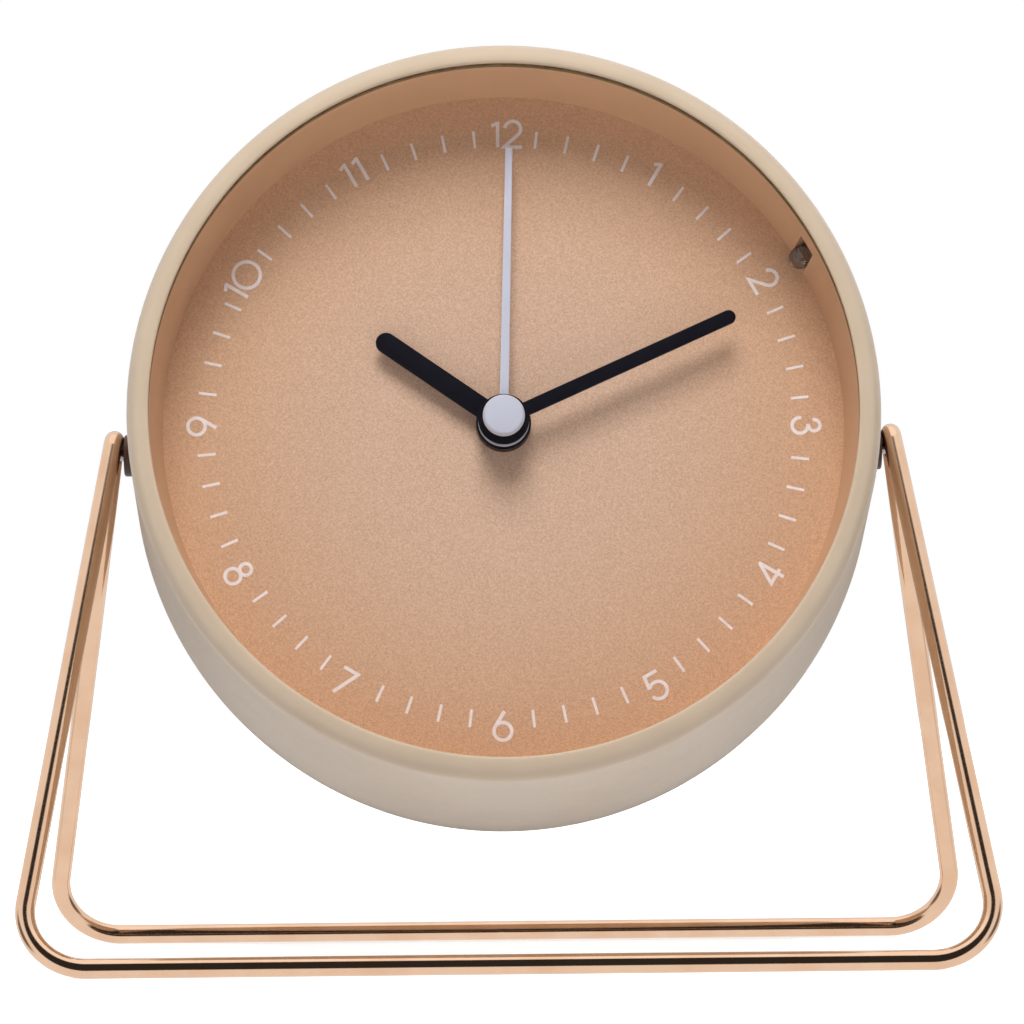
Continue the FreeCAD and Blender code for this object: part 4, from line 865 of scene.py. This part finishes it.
figures = {
    "0": [(arcPoints((0, 1.7), 1.83, 0, 360, steps=48)[:-1], True)],
    "1": [([(0, 0), (0, 3.6)], False), ([(0, 3.42), (-0.85, 3.0)], False)],
    "2": swanNeck((1.17, 2.6), 1.08, 2.45),
    "3": [
        (arcPoints((-0.37, 2.95), 0.78, 195, -90, steps=24) + [(-0.5, 2.17)], False),
        ([(-0.5, 2.12)] + arcPoints((-0.33, 1.05), 1.07, 90, -190, steps=30), False),
    ],
    "4": [([(1.08, -0.2), (1.08, 3.65)], False), ([(1.08, 3.5), (-0.55, 0.8), (1.7, 0.8)], False)],
    "5": [
        ([(1.15, 3.5), (-0.72, 3.5), (-0.95, 1.72)], False),
        (arcPoints((0.05, 1.08), 1.18, 142, -160, steps=32), False),
    ],
    "6": tailAndBowl((0.3, 3.65), (0.1, 0.97), 1.19),
    "7": [([(-1.75, 3.45), (0.4, 3.45), (-1.35, -0.2)], False)],
    "8": [
        (arcPoints((-0.02, 2.85), 0.79, -90, 270, steps=32)[:-1], True),
        (arcPoints((-0.05, 0.92), 1.05, 90, 450, steps=36)[:-1], True),
    ],
    "9": tailAndBowl((-0.48, -0.2), (-0.28, 2.45), 1.16),
}


# A flat band of ink along a line of points, as a thin closed solid. The line is drawn in its figure's
# own frame: an origin on the dial, the way along the writing and the way up.
def addStroke(bm, points, closed, half, front, back, origin, along, upright):
    spots = [Vector(point) for point in points]
    count = len(spots)
    sections = []
    for i, spot in enumerate(spots):
        before = spots[i - 1] if closed or i > 0 else None
        after = spots[(i + 1) % count] if closed or i < count - 1 else None
        out = (after - spot).normalized() if after is not None else (spot - before).normalized()
        into = (spot - before).normalized() if before is not None else out
        middle = (into + out).normalized()
        across = Vector((-middle.y, middle.x))
        reach = half / max(across.dot(Vector((-into.y, into.x))), 0.4)  # keeps sharp corners short
        flat = [spot + across * reach, spot - across * reach]
        rows = []
        for depth, sides in ((front, flat), (back, flat[::-1])):
            for sideSpot in sides:
                x, z = origin + along * sideSpot.x + upright * sideSpot.y
                rows.append(bm.verts.new(Vector((x, depth, z)) * millimetre))
        sections.append(rows)
    pairs = list(zip(sections, sections[1:]))
    if closed:
        pairs.append((sections[-1], sections[0]))
    else:
        bm.faces.new(sections[0])
        bm.faces.new(sections[-1][::-1])
    for first, second in pairs:
        for i in range(4):
            j = (i + 1) % 4
            bm.faces.new((first[j], first[i], second[i], second[j]))


back, thick, half = dialSet["front"], numeralSet["thick"], numeralSet["stroke"] / 2
bm = bmesh.new()
for hour, written in numeralSet["figures"].items():
    turn = math.radians(hour * 30)
    upright = Vector((math.sin(turn), math.cos(turn)))
    along = Vector((math.cos(turn), -math.sin(turn)))
    foot = upright * numeralSet["foot"]
    if hour in numeralSet["turnedHours"]:  # the lower figures stand towards the middle
        foot = upright * numeralSet["footTurned"]
        upright, along = -upright, -along
    for figure, shift in written:
        for layer, (points, closed) in enumerate(figures[figure]):
            front = back - thick * (1 + numeralSet["extraInk"] * layer)
            addStroke(bm, points, closed, half, front, back, foot + along * shift, along, upright)
makePiece("dialNumerals", bm, printPlace, "print", "head")
print("dial numerals printed")

# Hands: stamped blades with softened edges on round hubs
handSets = {
    "hourHand": {
        "length": 20.6, "root": 1.4, "tip": 1.4, "rounded": True, "hub": 3.68, "bore": 2.5,
        "height": 2.3, "blade": 0.5, "hubThick": 2.0, "angle": 305.35, "slot": "black_hand",
        "body": "hour_work", "node": "hour_hand",
    },
    "alarmHand": {
        "length": 37.9, "root": 0.6, "tip": 0.475, "rounded": False, "hub": 3.42, "bore": 1.85,
        "height": 2.95, "blade": 0.35, "hubThick": 0.35, "angle": 1.7, "slot": "grey_hand",
        "body": "alarm_work", "node": "alarm_hand",
    },
    "minuteHand": {
        "length": 34.2, "root": 0.95, "tip": 0.95, "rounded": True, "hub": 3.42, "bore": 1.25,
        "height": 4.5, "blade": 0.5, "hubThick": 0.7, "angle": 65.65, "slot": "black_hand",
        "body": "minute_work", "node": "minute_hand",
    },
}
collarSet = {"inset": 0.02, "start": 0.1, "edge": 0.08, "around": 96}
bladeEdge = 0.06
for name, hand in handSets.items():
    front = dialSet["front"] - hand["height"]
    lean = math.degrees(math.asin(hand["root"] / hand["hub"]))
    if hand["rounded"]:
        end = arcPoints((0, hand["length"] - hand["tip"]), hand["tip"], 0, 180, steps=20)
    else:
        end = [(hand["tip"], hand["length"]), (-hand["tip"], hand["length"])]
    outline = end + arcPoints((0, 0), hand["hub"], 90 + lean, 450 - lean, steps=72)
    bm = bmesh.new()
    addPlate(bm, outline, front, front + hand["blade"])
    bmesh.ops.recalc_face_normals(bm, faces=bm.faces)
    softenEdges(bm, bladeEdge)
    if hand["hubThick"] > hand["blade"]:  # the hub goes on behind the blade as a collar
        start, under = front + collarSet["start"], front + hand["hubThick"]
        hub, bore, edge = hand["hub"] - collarSet["inset"], hand["bore"], collarSet["edge"]
        outline = [(bore, start), (hub, start), (hub, under - edge), (hub - edge, under), (bore, under)]
        addTurned(bm, outline, collarSet["around"])
    makePiece(name, bm, headPlace @ clockwise(hand["angle"]), hand["slot"], hand["body"], [hand["node"]])

# Seconds cap: a turned button on the arbor. Its bevel is given as steps (inwards, backwards) from the
# front corner, with both of its ends eased.
capSet = {
    "radius": 2.8,
    "height": 7.1,
    "thick": 0.9,
    "bevel": ((0.41, 0.0), (0.33, 0.03), (0.03, 0.31), (0.0, 0.39)),
    "backEdge": 0.08,
    "bore": 0.55,
    "boreDepth": 0.45,
    "around": 128,
}
radius, edge, bore = capSet["radius"], capSet["backEdge"], capSet["bore"]
front = dialSet["front"] - capSet["height"]
back = front + capSet["thick"]
floorOfBore = back - capSet["boreDepth"]
outline = [(0, front)] + [(radius - inwards, front + backwards) for inwards, backwards in capSet["bevel"]]
outline += [(radius, back - edge), (radius - edge, back), (bore, back), (bore, floorOfBore), (0, floorOfBore)]
bm = bmesh.new()
addTurned(bm, outline, capSet["around"])
makePiece("secondsCap", bm, headPlace, "grey_hand", "seconds_work", ["seconds_cap"])
print("hands set")

# Alarm lamp: a domed 3 mm diode lying in the ring's slot. Inside it is the lead frame, an anvil with
# the chip's cup and a post for the bond wire, drawn across and outwards from the dial's middle.
lampSet = {
    "radius": 1.5,
    "tip": 44.5,
    "back": 48.1,
    "backEdge": 0.1,
    "height": 2.0,
    "angle": ringSet["slotAngle"],
    "around": 48,
    "anvil": [
        (-1.0, 48.0), (-0.55, 48.0), (-0.55, 46.6), (0.15, 46.3), (0.15, 45.75), (-0.95, 45.75), (-1.0, 46.3),
    ],
    "post": [(0.55, 48.0), (0.95, 48.0), (0.95, 46.0), (0.45, 45.9), (0.45, 46.2), (0.6, 46.5)],
    "frameThick": 0.44,
}
lampPlace = headPlace @ clockwise(lampSet["angle"])
lampPlace @= Matrix.Translation((0, (dialSet["front"] - lampSet["height"]) * millimetre, 0))
outwards = Matrix.Rotation(math.pi / 2, 4, "X")
radius, back, edge = lampSet["radius"], lampSet["back"], lampSet["backEdge"]
outline = [(0, lampSet["tip"])] + arcPoints((0, lampSet["tip"] + radius), radius, -85, 0, steps=14)
outline += [(radius, back - edge), (radius - edge, back), (0, back)]
bm = bmesh.new()
addTurned(bm, outline, lampSet["around"])
makePiece("alarmLamp", bm, lampPlace @ outwards, "lamp_resin", "head", ["alarm_light"])

half = lampSet["frameThick"] / 2
bm = bmesh.new()
for shape in ("anvil", "post"):
    addPlate(bm, lampSet[shape], -half, half)
makePiece("lampFrame", bm, lampPlace, "steel", "head")
print("alarm lamp laid in")

# Knobs: turned blanks with a shallow dish in the end, into which a node tree presses finger flutes
knobSet = {
    "radius": 6.5,
    "front": 16.8,
    "back": 22.8,
    "frontEdge": 0.15,
    "backRound": 0.6,
    "bore": 1.2,
    "boreDepth": 4.5,
    "dishFrom": 1.3,
    "dishTo": 1.6,
    "dishDepth": 0.15,
    "flutes": 24,
    "fluteDepth": 0.25,
    "fluteWidth": (0.1, 1.0),
    "fluteEdge": (0.9, 0.97),
    "side": 14.35,
    "up": 7.07,
    "around": 384,
    "knobs": (("timeKnob", -1, "time_setter", "time_knob"), ("alarmKnob", 1, "alarm_setter", "alarm_knob")),
}
fluteTree, given, made = newTree(
    "fingerFlutes", [("Flutes", "Int"), ("Depth", "Float"), ("Outside", "Float"), ("Finish", "Material")],
)
position = addNode(fluteTree, "GeometryNodeInputPosition").outputs[0]
axes = addNode(fluteTree, "ShaderNodeSeparateXYZ", {0: position}).outputs
bearing = addMath(fluteTree, "ARCTAN2", axes["X"], axes["Z"])
ripple = addMath(fluteTree, "COSINE", addMath(fluteTree, "MULTIPLY", bearing, given["Flutes"]))
groove = addRange(fluteTree, ripple, knobSet["fluteWidth"])
radial = addNode(fluteTree, "ShaderNodeCombineXYZ", {"X": axes["X"], "Z": axes["Z"]}).outputs[0]
reach = addNode(fluteTree, "ShaderNodeVectorMath", {"operation": "LENGTH", 0: radial}).outputs["Value"]
fromMiddle = addMath(fluteTree, "DIVIDE", reach, given["Outside"])
pressed = addMath(fluteTree, "MULTIPLY", groove, addRange(fluteTree, fromMiddle, knobSet["fluteEdge"]))
inward = addMath(fluteTree, "MULTIPLY", addMath(fluteTree, "MULTIPLY", pressed, given["Depth"]), -1.0)
direction = addNode(fluteTree, "ShaderNodeVectorMath", {"operation": "NORMALIZE", 0: radial})
move = addNode(fluteTree, "ShaderNodeVectorMath", {
    "operation": "SCALE", 0: direction.outputs[0], "Scale": inward,
})
fluted = addNode(fluteTree, "GeometryNodeSetPosition", {
    "Geometry": given["Geometry"], "Offset": move.outputs[0],
})
endTree(fluteTree, fluted.outputs[0], given, made)

radius, front, back = knobSet["radius"], knobSet["front"], knobSet["back"]
edge, curve, bore = knobSet["frontEdge"], knobSet["backRound"], knobSet["bore"]
floorOfBore, dish = front + knobSet["boreDepth"], back - knobSet["dishDepth"]
outline = [(bore, front), (radius - edge, front), (radius, front + edge)]
outline += arcPoints((radius - curve, back - curve), curve, 0, 90, steps=6)
outline += [(radius - knobSet["dishFrom"], back), (radius - knobSet["dishTo"], dish), (0, dish)]
outline += [(0, floorOfBore), (bore, floorOfBore)]
for name, sign, body, node in knobSet["knobs"]:
    blank = bmesh.new()
    addTurned(blank, outline, knobSet["around"])
    bm = runTree(fluteTree, toMesh(name + "Blank", blank), {
        "Flutes": knobSet["flutes"],
        "Depth": knobSet["fluteDepth"] * millimetre,
        "Outside": radius * millimetre,
        "Finish": finishes["back_plastic"],
    })
    spot = Matrix.Translation((sign * knobSet["side"] * millimetre, 0, knobSet["up"] * millimetre))
    makePiece(name, bm, headPlace @ spot, "back_plastic", body, [node])
print("knobs turned")
